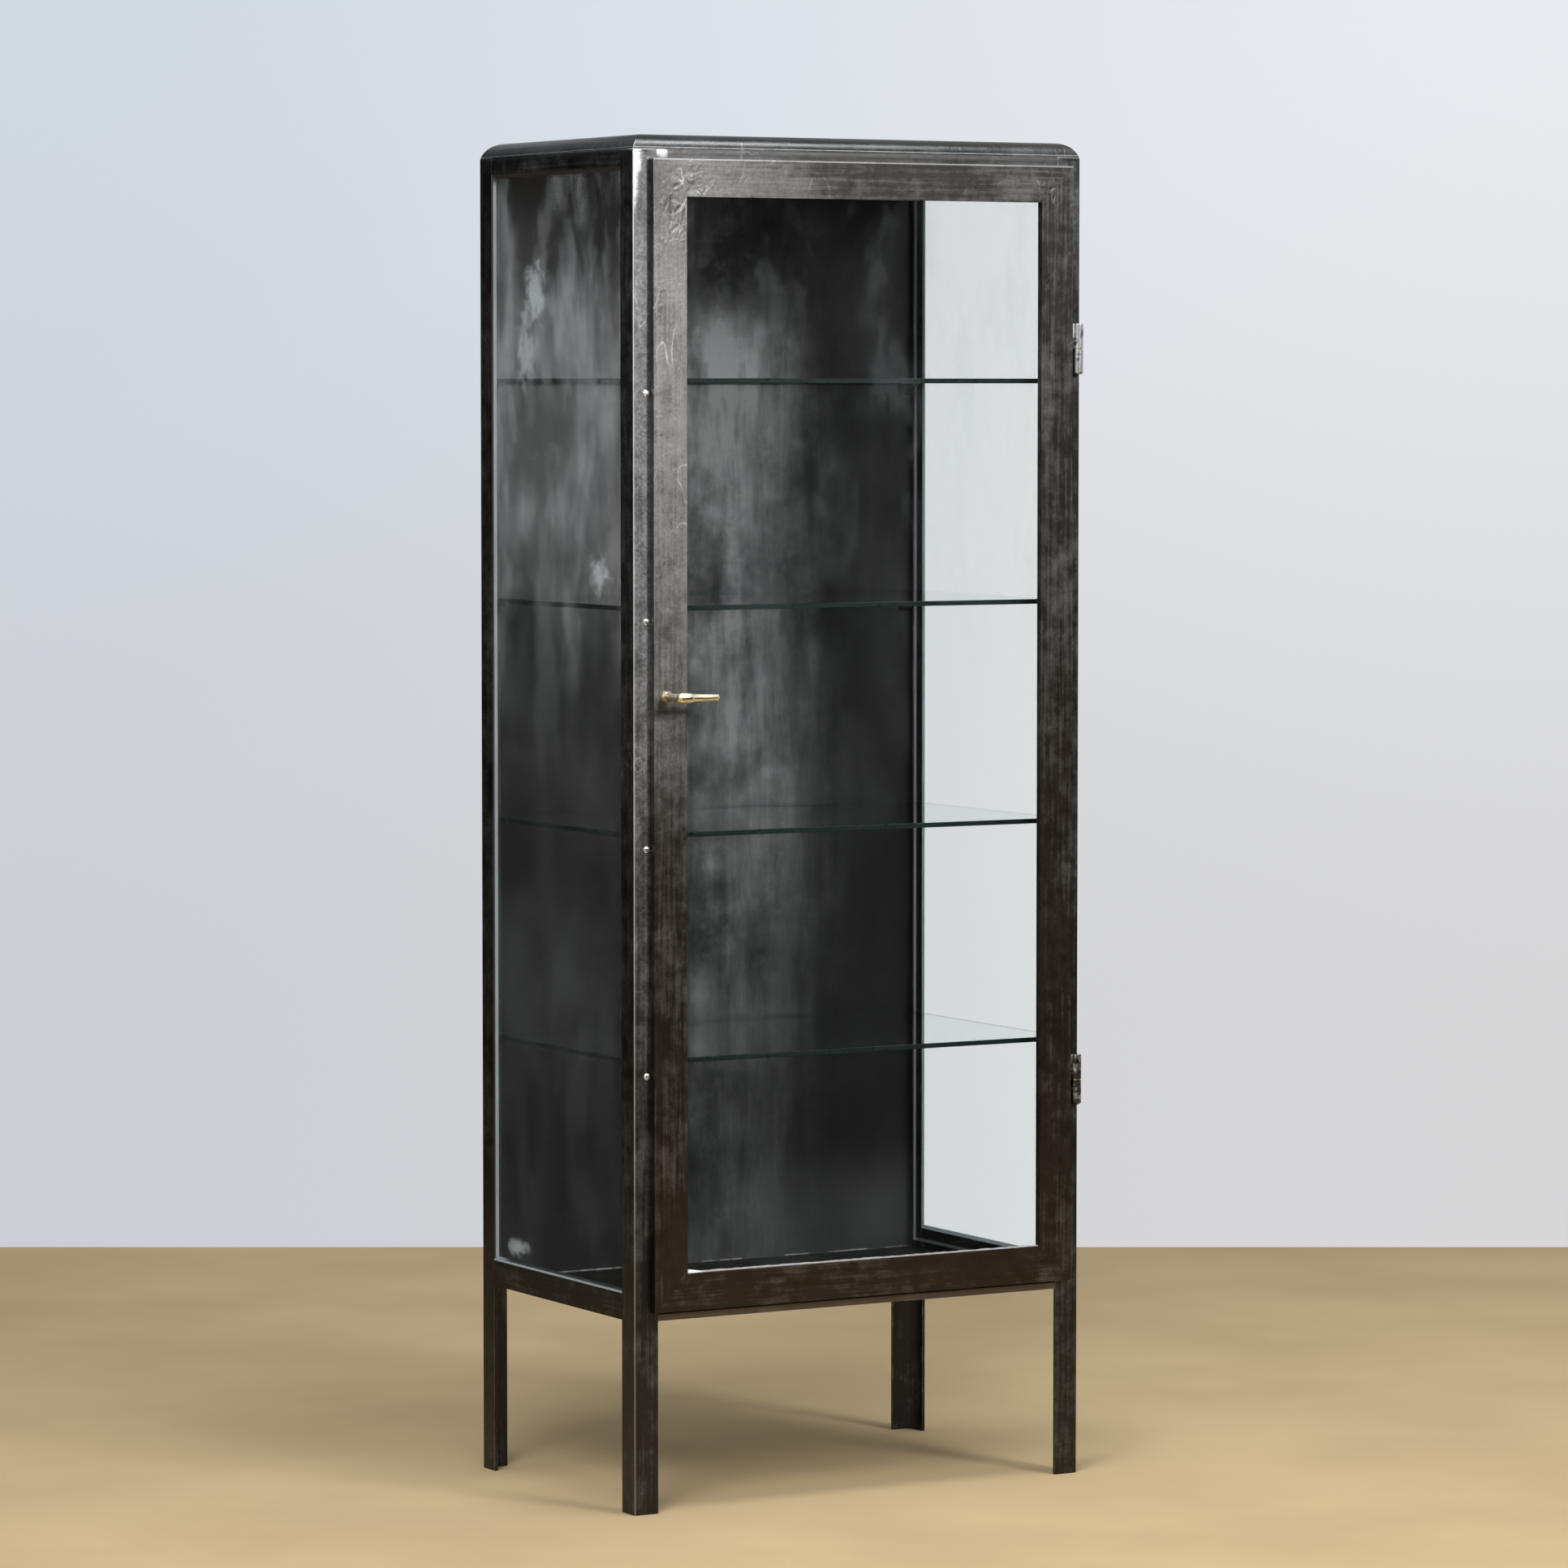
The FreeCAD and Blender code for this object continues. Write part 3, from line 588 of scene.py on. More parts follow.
upright_steel = patinated_steel(
    "upright_steel", frame_dark, frame_worn, "Z", bar_polish_and_light, right_light_share=0.12, speckle=0.5
)
top_rail_steel = patinated_steel(
    "top_rail_steel", frame_dark, top_rail_worn, "X", rail_polish_and_light, right_light_share=0.6
)
low_rail_steel = patinated_steel("low_rail_steel", low_rail_painted_light, frame_worn, "X", rail_polish_and_light)
rear_rail_steel = patinated_steel(
    "rear_rail_steel", frame_dark, frame_worn, "X", rail_polish_and_light, right_light_share=0.3
)
side_rail_steel = patinated_steel(
    "side_rail_steel", side_painted_shade, frame_worn, "Y", rail_polish_and_light, right_light_share=0.3
)
# Painted shade in the fold just under the top.
for frame_steel in (upright_steel, top_rail_steel, side_rail_steel):
    darken_lip(frame_steel)
ground_corner_and_highlight(upright_steel)
ground_rail_end(top_rail_steel)
# Painted shadow: a black band just under the bottom edge of the door.
height_band(low_rail_steel, (door_low.z - 0.0042, door_low.z - 0.0024), (0.0, 1.0), door_shadow_black)
print("frame steels: 5")

# %% Door and top steel
door_dark, door_worn, door_top_highlight = (0.055, 0.0445, 0.036), (0.30, 0.295, 0.292), (0.50, 0.49, 0.48)
door_polish_and_light, top_polish_and_light, top_rough = (0.60, 1.25), (1.2, 1.66), (0.20, 0.34)
top_dark, top_worn, top_sheen = (0.042, 0.040, 0.038), (0.135, 0.132, 0.129), (0.65, 0.64, 0.63)

stile_steel = patinated_steel("stile_steel", door_dark, door_worn, "Z", door_polish_and_light, right_light_share=0.15)
door_rail_steel = patinated_steel("door_rail_steel", door_dark, door_worn, "X", door_polish_and_light, right_light_share=0.15)
for door_steel in (stile_steel, door_rail_steel):
    # Painted highlight along the top edge of the door.
    height_band(door_steel, (door_high.z - 0.0022, door_high.z - 0.0012), (0.0, 0.55), door_top_highlight)
    hammered_corners(door_steel)
top_steel = patinated_steel("top_steel", top_dark, top_worn, "X", top_polish_and_light, top_rough)
top_shader = top_steel.node_tree.nodes["Principled BSDF"]
top_shader.inputs["Specular Tint"].default_value = opaque(top_sheen)
print("door steels: 2, top steel: 1")

# %% [markdown]
# ## Worn edges
# Patina rubs off first along the arrises, which show as thin bright lines. The shape for that line
# is a real bevel, added below. A plain bright bevel would look drawn with a ruler, so its finish is
# bright steel that noise breaks up, and the line comes and goes along its length.

# %% Worn edges
def worn_edge(name, bright, dark, share):
    """Bright metal over about this share of an edge, a little more of it higher up."""
    finish, tree, shader, coords = start_finish(name)
    broken = clouds(tree, coords, scale=46.0, detail=6.0, rough=0.7)
    rise = remap(tree, part_of(tree, coords, "Z"), (0.3, 1.5), (-0.12, 0.12))
    mask = remap(tree, calculate(tree, "SUBTRACT", broken, rise), (share - 0.16, share + 0.16))
    tone = blend_colours(tree, mask, bright, dark)
    fill(tree, shader, {"Base Color": tone, "Metallic": 1.0, "Roughness": 0.36})
    return finish


frame_edge = worn_edge("frame_edge", (0.52, 0.52, 0.52), dark=(0.10, 0.095, 0.09), share=0.54)
door_edge = worn_edge("door_edge", (0.46, 0.45, 0.43), dark=(0.06, 0.052, 0.045), share=0.50)
door_bright_edge = worn_edge("door_bright_edge", (0.62, 0.61, 0.60), dark=(0.12, 0.11, 0.10), share=0.56)
cap_edge = worn_edge("cap_edge", (0.34, 0.34, 0.34), dark=(0.08, 0.076, 0.072), share=0.50)
print("worn edges: 4")

# %% [markdown]
# ## Rounded copies of the steel pieces
# A solid model has knife-sharp edges, and no light catches on them. Each bar, rail and door member
# is copied, its flat triangles are merged back into whole faces, and every sharp edge gets a small
# bevel. The bevel faces take the second material, the worn edge. A bevel drawn only by the shader
# would be quicker, but it is lost when the model leaves Blender. The copy stands for its solid.

# %% Copies that stand for solids
record = frame["record"]
body_of = {node: body for body, group in record["behaviour"]["bodies"].items() for node in group}
weld_distance, flat_angle = 1e-6, math.radians(1.0)


def clean_copy(node):
    """A solid's mesh with its split corners welded and its flat triangles merged."""
    mesh = nodes[node].data.copy()
    work = bmesh.new()
    work.from_mesh(mesh)
    bmesh.ops.remove_doubles(work, verts=work.verts, dist=weld_distance)
    bmesh.ops.dissolve_limit(work, angle_limit=flat_angle, verts=work.verts, edges=work.edges)
    work.to_mesh(mesh)
    work.free()
    return mesh


def stand_for(piece, node):
    """The piece rides on its solid's body and replaces it."""
    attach(piece, body_of[node])
    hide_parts(node)
    return piece


# %% Shading and modifiers
def smooth_by_angle(mesh, degrees):
    """Smooth shading, with an edge kept sharp where its faces meet at more than this angle."""
    mesh.polygons.foreach_set("use_smooth", [True] * len(mesh.polygons))
    mesh.set_sharp_from_angle(angle=math.radians(degrees))


def keep_modifiers(piece):
    """Turn what the modifiers show into the piece's own mesh."""
    bpy.context.view_layer.update()
    shown = piece.evaluated_get(bpy.context.evaluated_depsgraph_get())
    shaped = bpy.data.meshes.new_from_object(shown)
    piece.modifiers.clear()
    piece.data = shaped


print("shading and modifiers ready")

# %% Bevelled copies
def rounded(node, face_finish, edge_finish, width, segments=3, sharp=32.0, seam=None):
    """A bevelled copy of a solid that stands for it; edges that lie in a seam stay as they are."""
    mesh = clean_copy(node)
    cover(mesh, face_finish, edge_finish)
    smooth_by_angle(mesh, sharp)
    weights = mesh.attributes.new("bevel_weight_edge", "FLOAT", "EDGE")
    for edge in mesh.edges:
        ends = [mesh.vertices[index].co for index in edge.vertices]
        joined = seam is not None and all(seam(end) for end in ends)
        weights.data[edge.index].value = 1.0 if edge.use_edge_sharp and not joined else 0.0
    piece = new_object(node + "_rounded", mesh)
    bevel = piece.modifiers.new("arris", "BEVEL")
    bevel.width = width
    bevel.segments = segments
    bevel.limit_method = "WEIGHT"
    bevel.material = 1
    bevel.use_clamp_overlap = True
    piece.modifiers.new("flat_faces", "WEIGHTED_NORMAL").keep_sharp = True
    keep_modifiers(piece)
    piece.data.name = node + "_rounded"
    return stand_for(piece, node)


print("bevelled copies ready")

# %% [markdown]
# ## Seams that stay smooth
# Where two members are welded and ground smooth, a bevel would draw a line that the real piece
# doesn't have. The members could be joined into one mesh, but then they would no longer be separate
# pieces. Instead the edges that lie in a weld are found by their place and left alone.

# %% Seams that stay smooth
touch = 0.0004
rail_end_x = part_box("bottom_rail_front")[1].x
rail_ends_y = [limit.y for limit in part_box("bottom_rail_left")]


def near(value, *places):
    """True where a value lies at one of these places."""
    return any(abs(value - place) < touch for place in places)


def door_mitre(point):
    """True on the diagonals where the door members are welded."""
    from_side = min(point.x - door_low.x, door_high.x - point.x)
    from_end = min(point.z - door_low.z, door_high.z - point.z)
    return near(from_side, from_end)


def frame_weld(point):
    """True where the bars are welded together or meet the top."""
    return near(abs(point.x), rail_end_x) or near(point.y, *rail_ends_y) or point.z > cap_seat - touch


print("rail ends at", round(rail_end_x, 4), [round(y, 4) for y in rail_ends_y])

# %% Round the steel
upright_arris, rail_arris, door_arris, low_door_arris, cap_arris = 0.0012, 0.0008, 0.0010, 0.0006, 0.0005
steel_pieces = []
for corner in ("front_left", "front_right", "rear_left", "rear_right"):
    steel_pieces.append(rounded("upright_" + corner, upright_steel, frame_edge, upright_arris))
for level, front_steel in (("top", top_rail_steel), ("bottom", low_rail_steel)):
    steels = {"front": front_steel, "rear": rear_rail_steel}
    steels.update(left=side_rail_steel, right=side_rail_steel)
    for side, steel in steels.items():
        rail = "%s_rail_%s" % (level, side)
        steel_pieces.append(rounded(rail, steel, frame_edge, rail_arris, seam=frame_weld))
door_members = {"stile_left": stile_steel, "stile_right": stile_steel, "rail_top": door_rail_steel}
for member, steel in door_members.items():
    steel_pieces.append(rounded("door_" + member, steel, door_bright_edge, door_arris, seam=door_mitre))
steel_pieces.append(rounded("door_rail_bottom", door_rail_steel, door_edge, low_door_arris, seam=door_mitre))
steel_pieces.append(rounded("top_cap", top_steel, cap_edge, cap_arris))
print("rounded pieces:", len(steel_pieces), "faces:", sum(len(piece.data.polygons) for piece in steel_pieces))

# %% [markdown]
# ## Smoky sheet back and floor
# The back is a plain steel sheet that was wiped and handled for years. Large soft clouds and long upright
# streaks of lighter metal lie over a near-black sheet, and dust draws a broken pale line along its foot. Even
# noise would look like camouflage, so the smoke is steered: it is thick left of the middle and thin to the
# right, at the top and at the foot. On the left the sheet is kept dark below the third shelf, a painted
# shadow, and is paler above it, painted light.

# %% Smoke
def smoke_mask(tree, coords, wiped, streak_axis):
    """How pale the sheet is, from 0 to 1, with a painted shadow below the third shelf and painted light above
    it on the left.
    """
    across, height = part_of(tree, coords, "X"), part_of(tree, coords, "Z")
    drawn = streaks_along(streak_axis, 0.16)
    smoke = clouds(tree, coords, scale=4.2, detail=8.0, rough=0.62, shift=(0.7, 0.0, 0.25))
    streaks = clouds(tree, coords, scale=30.0, detail=6.0, rough=0.65, stretch=drawn)
    streaky = remap(tree, streaks, (0.30, 0.72), (0.3, 1.0))
    cloudy = times(tree, remap(tree, smoke, (0.33, 0.70), (0.06, 1.0)), streaky)
    # Painted shadow of the third shelf: on the left, below it, the smoke is thinned.
    outside_shelf_shadow = highest(
        tree, remap(tree, height, (0.98, 1.12), (0.22, 1.0)), remap(tree, across, (-0.12, -0.05))
    )
    density = times(
        tree,
        plus(tree, cloudy, remap(tree, wiped, (0.48, 0.76), (0.0, 0.35))),
        remap(tree, across, (-0.14, -0.01), (0.75, 1.45)),
        outside_shelf_shadow,
        remap(tree, across, (0.0, 0.24), (1.0, 0.08)),
        remap(tree, apart(tree, height, 1.14), (0.28, 0.62), (1.0, 0.42)),
    )
    # Painted light: paler on the left above the third shelf.
    to_left = remap(tree, across, (-0.12, -0.05), (1.0, 0.0))
    upper_left_light = times(tree, to_left, remap(tree, height, (1.05, 1.2), (0.0, 0.34)))
    to_right = remap(tree, across, (-0.03, 0.12), (0.2, 1.4))
    near_floor = times(tree, remap(tree, height, (0.25, 0.40), (0.22, 0.0)), to_right)
    return clamp(tree, plus(tree, highest(tree, density, upper_left_light), near_floor))


print("smoke ready")

# %% Sheets
def smoky_sheet(name, dark, pale, streak_axis, sheen):
    """A near-black sheet with paler smoke; the sheen is its tint where it is seen at a low angle."""
    finish, tree, shader, coords = start_finish(name)
    wiped = clouds(tree, coords, scale=14.0, detail=7.0, rough=0.72)
    tone = blend_colours(tree, smoke_mask(tree, coords, wiped, streak_axis), dark, pale)
    fill(tree, shader, {"Base Color": tone, "Roughness": remap(tree, wiped, (0.3, 0.75), (0.44, 0.6))})
    fill(tree, shader, {"Metallic": 0.75, "Specular IOR Level": 0.2, "Specular Tint": opaque(sheen)})
    emboss(tree, shader, wiped, strength=0.05, depth=0.0006)
    return finish


def dress(node, finish):
    """Give a finish to a solid that stays as it is."""
    cover(nodes[node].data, finish)


back_dark, back_pale, full_sheen = (0.010, 0.010, 0.011), (0.16, 0.162, 0.168), (1.0, 1.0, 1.0)
floor_sheet_dark, floor_sheet_pale, low_sheen = (0.014, 0.0135, 0.013), (0.07, 0.07, 0.07), (0.12, 0.12, 0.12)
back_sheet = smoky_sheet("back_sheet", back_dark, back_pale, "Z", full_sheen)
floor_sheet = smoky_sheet("floor_sheet", floor_sheet_dark, floor_sheet_pale, "X", low_sheen)
print("sheet finishes:", back_sheet.name, floor_sheet.name)

# %% Dust at the foot of the back
back_foot, dust_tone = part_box("back_panel")[0].z, (0.34, 0.34, 0.33)
tree = back_sheet.node_tree
coords = where(tree)
low_down = remap(tree, part_of(tree, coords, "Z"), (back_foot + 0.0025, back_foot + 0.0040), (1.0, 0.0))
broken = remap(tree, clouds(tree, coords, scale=22.0, detail=4.0, rough=0.6), (0.48, 0.60))
lay_over(back_sheet, times(tree, low_down, broken), dust_tone)
dress("back_panel", back_sheet)
dress("floor_panel", floor_sheet)
print("sheets dressed, foot of the back at", round(back_foot, 4))

# %% [markdown]
# ## Glass
# A pane is a clear slab. A plain glass shader would stop the lamps, and the cabinet would be dark
# inside, so lamp rays meet a clear shader instead. Old panes carry a faint film where they were
# wiped: a little grey diffuse light, mixed in by noise, with a few pale smears on the left pane.
# Rougher glass could show the film too, but it would blur all that stands behind the pane.

# %% Clear glass
film_tone = (0.55, 0.62, 0.65)


def clear_glass(name, tint, film_share, film_range, smears=()):
    """Glass with a wiped film; a smear is (y, z, half width, half height, share)."""
    finish, tree, shader, coords = start_finish(name)
    fill(tree, shader, {"Base Color": opaque(tint), "Roughness": 0.0, "IOR": 1.5, "Transmission Weight": 1.0})
    swirl = clouds(tree, coords, scale=11.0, detail=7.0, rough=0.66, stretch=(1, 1, 0.45))
    more_above = remap(tree, part_of(tree, coords, "Z"), (0.92, 1.2), (0.10, 1.0))
    amount = times(tree, remap(tree, swirl, film_range, (0.0, film_share)), more_above)
    for y, z, half_width, half_height, share in smears:
        smear = ragged_spot(tree, coords, (0, y, z), half_size=(0, half_width, half_height), soft=0.9)
        amount = highest(tree, amount, times(tree, smear, share))
    film = add(tree, "BsdfDiffuse", {"Color": opaque(film_tone)}).outputs[0]
    hazy = add(tree, "MixShader", {0: amount, 1: shader.outputs[0], 2: film}).outputs[0]
    lamp_ray = add(tree, "LightPath").outputs["Is Shadow Ray"]
    through = add(tree, "BsdfTransparent", {"Color": opaque(tint)}).outputs[0]
    pane = add(tree, "MixShader", {0: lamp_ray, 1: hazy, 2: through}).outputs[0]
    fill(tree, tree.nodes["Material Output"], {"Surface": pane})
    return finish


print("clear glass ready")

# %% Panes
door_tint, side_tint = (0.985, 0.995, 0.993), (0.985, 0.995, 0.995)
door_film_range, side_film_range = (0.52, 0.78), (0.40, 0.74)
left_smears = [
    (0.084, 1.464, 0.034, 0.050, 0.34),
    (0.110, 1.395, 0.030, 0.060, 0.24),
    (-0.079, 1.125, 0.032, 0.026, 0.34),
    (0.138, 0.286, 0.034, 0.012, 0.30),
]
door_film, right_film, left_film = 0.04, 0.06, 0.20
dress("door_glass", clear_glass("door_glass_finish", door_tint, door_film, door_film_range))
dress("side_glass_right", clear_glass("right_glass_finish", side_tint, right_film, side_film_range))
left_glass = clear_glass("left_glass_finish", side_tint, left_film, side_film_range, left_smears)
dress("side_glass_left", left_glass)
print("panes: 3, smears:", len(left_smears))

# %% [markdown]
# ## Glass shelves
# The shelves are the same glass, and their cut edges gather its green until they look nearly black.
# That comes from light bouncing many times inside the slab. Following all those bounces is slow, so
# the edges have a dark glossy finish of their own, and the two large faces stay clear.

# %% Glass shelves
shelf_tint, shelf_green = (0.93, 0.97, 0.955), (0.003, 0.009, 0.008)
shelf_arris, level_normal = 0.0006, 0.9
shelf_face = clear_glass("shelf_face", shelf_tint, film_share=0.03, film_range=(0.55, 0.80))
shelf_edge, tree, shader, coords = start_finish("shelf_edge")
edge_rough = remap(tree, clouds(tree, coords, scale=160.0), (0.3, 0.7), (0.25, 0.45))
fill(tree, shader, {"Base Color": opaque(shelf_green), "Specular IOR Level": 0.2, "Roughness": edge_rough})


def polished_shelf(node):
    """A shelf with ground arrises and green edges."""
    piece = rounded(node, shelf_face, shelf_edge, shelf_arris, segments=2)
    for face in piece.data.polygons:
        face.material_index = 0 if abs(face.normal.z) > level_normal else 1
    return piece


shelves = [polished_shelf("shelf_%d" % number) for number in range(1, 5)]
print("shelves:", len(shelves))

# %% [markdown]
# ## Putty
# The side panes lie in putty. It was knifed flat by hand, so its tone drifts and small dents catch the light.
# It is pale along the rear and the foot of each pane and dark elsewhere, and a painted shadow keeps a thin
# strip at the very rear of the left pane dark. The face that touches the glass is drawn a hair inside the
# pane: two faces in exactly the same place would hide each other by chance, and the putty could not show
# through.

# %% Glazing putty
putty_low, putty_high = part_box("side_putty_left")
putty_dark, putty_grey, putty_pale = (0.016, 0.016, 0.017), (0.15, 0.18, 0.195), (0.30, 0.35, 0.38)
putty_rough = 0.7
putty, tree, shader, coords = start_finish("glazing_putty")
depth, height = part_of(tree, coords, "Y"), part_of(tree, coords, "Z")
knifed = clouds(tree, coords, scale=60.0, detail=6.0, rough=0.65, stretch=(1, 1, 0.25))
right_pane = remap(tree, part_of(tree, coords, "X"), (-0.1, 0.1))
# Painted shadow: a thin dark strip along the rear of the left pane's putty.
out_of_rear_shadow = remap(tree, depth, (putty_high.y - 0.0022, putty_high.y - 0.0012), (1.0, 0.0))
rearmost = remap(tree, depth, (putty_high.y - 0.043, putty_high.y - 0.007))
rear = times(tree, highest(tree, out_of_rear_shadow, right_pane), rearmost)
wide_foot = remap(tree, height, (putty_low.z + 0.0055, putty_low.z + 0.0065), (1.0, 0.0))
thin_foot = remap(tree, height, (putty_low.z + 0.0018, putty_low.z + 0.0026), (1.0, 0.0))
foot = highest(tree, times(tree, wide_foot, right_pane), thin_foot)
below_top = remap(tree, height, (putty_high.z - 0.0155, putty_high.z - 0.0055), (1.0, 0.0))
pale_places = times(tree, highest(tree, rear, foot), below_top)
pale_putty = blend_colours(tree, knifed, putty_grey, putty_pale)
putty_tone = blend_colours(tree, pale_places, putty_dark, pale_putty)
fill(tree, shader, {"Base Color": putty_tone, "Roughness": putty_rough})
emboss(tree, shader, knifed, strength=0.4, depth=0.0008)
print("putty from", [round(v, 4) for v in putty_low], "to", [round(v, 4) for v in putty_high])

# %% Dark bedding
bedding_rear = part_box("side_bedding_left")[1].y
bedding_dark, bedding_grey, bedding_dust = (0.03, 0.033, 0.036), (0.075, 0.08, 0.085), (0.20, 0.21, 0.22)
bedding, tree, shader, coords = start_finish("dark_bedding")
pressed = clouds(tree, coords, scale=60.0, detail=6.0, rough=0.65)
grimy = blend_colours(tree, pressed, bedding_dark, bedding_grey)
dusty = remap(tree, part_of(tree, coords, "Y"), (bedding_rear - 0.010, bedding_rear - 0.003))
fill(tree, shader, {"Base Color": blend_colours(tree, dusty, grimy, bedding_dust), "Roughness": putty_rough})
print("bedding ends at", round(bedding_rear, 4))

# %% Putty on the side panes
def seated_putty(node, into_pane=0.00005):
    """A putty frame whose contact face lies a hair inside the pane."""
    mesh = clean_copy(node)
    contact = min(abs(corner.x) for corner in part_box(node))
    for vertex in mesh.vertices:
        if near(abs(vertex.co.x), contact):
            vertex.co.x *= (contact - into_pane) / contact
    cover(mesh, putty)
    return stand_for(new_object(node + "_seated", mesh), node)


for side in ("left", "right"):
    seated_putty("side_putty_" + side)
    dress("side_bedding_" + side, bedding)
print("side panes puttied")

# %% [markdown]
# ## Putty bead on the door
# A thin line of putty runs along the foot of the door pane, with a thick dab where the knife began
# in the left corner. It is a small skin swept along the sill. A curve with a bevel would give an
# even tube; rings of points with slightly random heights give the unsteady line of a hand.

# %% Finish of the bead
opening_left, opening_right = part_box("door_stile_left")[1].x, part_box("door_stile_right")[0].x
bead_grey, bead_pale, dab_pale = (0.16, 0.152, 0.145), (0.46, 0.445, 0.43), (0.74, 0.72, 0.70)
bead_putty, tree, shader, coords = start_finish("bead_putty")
uneven = clouds(tree, coords, scale=90.0, detail=6.0, rough=0.65)
bead_tone = blend_colours(tree, uneven, bead_grey, bead_pale)
dab = remap(tree, part_of(tree, coords, "X"), (opening_left + 0.012, opening_left + 0.03), (1.0, 0.0))
fill(tree, shader, {"Base Color": blend_colours(tree, dab, bead_tone, dab_pale), "Roughness": putty_rough})
print("bead from", round(opening_left, 4), "to", round(opening_right, 4))

# %% Rings of the bead
sill, pane_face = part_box("door_rail_bottom")[1].z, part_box("door_glass")[0].y
steps, end_gap, dab_fade = 110, 0.0002, 22
line_rise, line_sinks, rise_shake, dab_rise = 0.0020, 0.0005, 0.0004, 0.0026
line_depth, depth_shake, dab_depth = 0.0018, 0.0003, 0.0016
bead_sharp = 40

hand = random.Random(7)
bead_work = bmesh.new()
rings = []
for step in range(steps + 1):
    share = step / steps
    x = opening_left + end_gap + (opening_right - opening_left - 2 * end_gap) * share
    thick = max(0.0, 1.0 - share * dab_fade)
    rise = line_rise - line_sinks * share + hand.uniform(-rise_shake, rise_shake) + dab_rise * thick
    depth = line_depth + hand.uniform(-depth_shake, depth_shake) + dab_depth * thick
    profile = [(0, 0), (-depth, 0), (-depth * 0.86, rise * 0.45), (-depth * 0.4, rise * 0.88), (0, rise)]
    rings.append([bead_work.verts.new((x, pane_face + y, sill + z)) for y, z in profile])
print("rings:", len(rings))

# %% Skin of the bead
def keep_mesh(work, name):
    """Keep a finished skin as a mesh, with its faces turned outwards."""
    bmesh.ops.recalc_face_normals(work, faces=work.faces)
    mesh = bpy.data.meshes.new(name)
    work.to_mesh(mesh)
    work.free()
    return mesh


for first, second in zip(rings, rings[1:]):
    for index in range(len(first)):
        after = (index + 1) % len(first)
        bead_work.faces.new((first[index], first[after], second[after], second[index]))
bead_work.faces.new(rings[0])
bead_work.faces.new(rings[-1])
bead_mesh = keep_mesh(bead_work, "door_putty_bead")
cover(bead_mesh, bead_putty)
smooth_by_angle(bead_mesh, bead_sharp)
putty_bead = new_object("door_putty_bead", bead_mesh)
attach(putty_bead, "door")
print("bead faces:", len(bead_mesh.polygons))

# %% [markdown]
# ## Slotted screws
# The shelf brackets hang on small screws with domed, slotted heads. A head is a turned profile
# with a slot across it. The profile is spun in rings, and the slot is cut with a thin block. Bump
# could fake the slot, but a real cut has walls that stay dark from every side.

# %% Bright steel
front_face, rear_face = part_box("upright_front_left")[0].y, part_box("upright_rear_left")[1].y
middle_depth, half_depth = (front_face + rear_face) / 2, (rear_face - front_face) / 2
head_bright, head_tarnished, shank_black = (0.86, 0.87, 0.88), (0.42, 0.41, 0.40), (0.02, 0.02, 0.02)
bright_steel, tree, shader, coords = start_finish("bright_steel")
tarnish = clouds(tree, coords, scale=240.0, detail=5.0, rough=0.65)
head_tone = blend_colours(tree, remap(tree, tarnish, (0.42, 0.72)), head_bright, head_tarnished)
from_middle = apart(tree, part_of(tree, coords, "Y"), middle_depth)
outside = remap(tree, from_middle, (half_depth - 0.0020, half_depth - 0.0005))
fill(tree, shader, {
    "Base Color": blend_colours(tree, outside, shank_black, head_tone),
    "Metallic": 1.0,
    "Roughness": remap(tree, tarnish, (0.3, 0.7), (0.2, 0.42)),
})
print("heads are bright from", round(half_depth - 0.0005, 4), "m off the middle")

# %% Spinning a profile
def spun(work, profile, sides, place):
    """Spin (radius, height) points round local Z into a closed skin."""
    angles = [2 * math.pi * step / sides for step in range(sides)]
    rings = []
    for radius, height in profile:
        points = [Vector((radius * math.cos(angle), radius * math.sin(angle), height)) for angle in angles]
        if radius == 0:
            points = [Vector((0, 0, height))]
        rings.append([work.verts.new(place @ point) for point in points])
    for lower, upper in zip(rings, rings[1:]):
        for step in range(sides):
            after = (step + 1) % sides
            below = [lower[step % len(lower)], lower[after % len(lower)]]
            above = [upper[after % len(upper)], upper[step % len(upper)]]
            corners = list(dict.fromkeys(below + above))
            if len(corners) > 2:
                work.faces.new(corners)


print("spinning ready")

# %% Cutting with a block
def cut_away(piece, cutter_mesh, operation="DIFFERENCE"):
    """Subtract a mesh from a piece, or add it, and keep the result."""
    cutter = new_object("cutter", cutter_mesh)
    cut = piece.modifiers.new("cut", "BOOLEAN")
    cut.operation = operation
    cut.solver = "EXACT"
    cut.object = cutter
    keep_modifiers(piece)
    bpy.data.objects.remove(cutter)


print("cutting ready")

# %% Where the screws sit
row_gap = 0.05


def screw_middles(node):
    """The x and z of each screw, read from the solid that holds all of them."""
    points = [vertex.co for vertex in nodes[node].data.vertices]
    rows = []
    for level in sorted({round(point.z, 4) for point in points}):
        if not rows or level - rows[-1][-1] > row_gap:
            rows.append([])
        rows[-1].append(level)
    columns = [[point.x for point in points if (point.x < 0) == on_left] for on_left in (True, False)]
    middles_x = [(min(column) + max(column)) / 2 for column in columns if column]
    return [(x, (row[0] + row[-1]) / 2) for x in middles_x for row in rows]


front_left_screws = screw_middles("bracket_screws_front_left")
print("front left screws at", [(round(x, 4), round(z, 4)) for x, z in front_left_screws])

# %% Screw heads
slot_width, slot_length, slot_depth = 0.0012, 0.012, 0.0011
screw_sides, screw_sharp = 24, 40


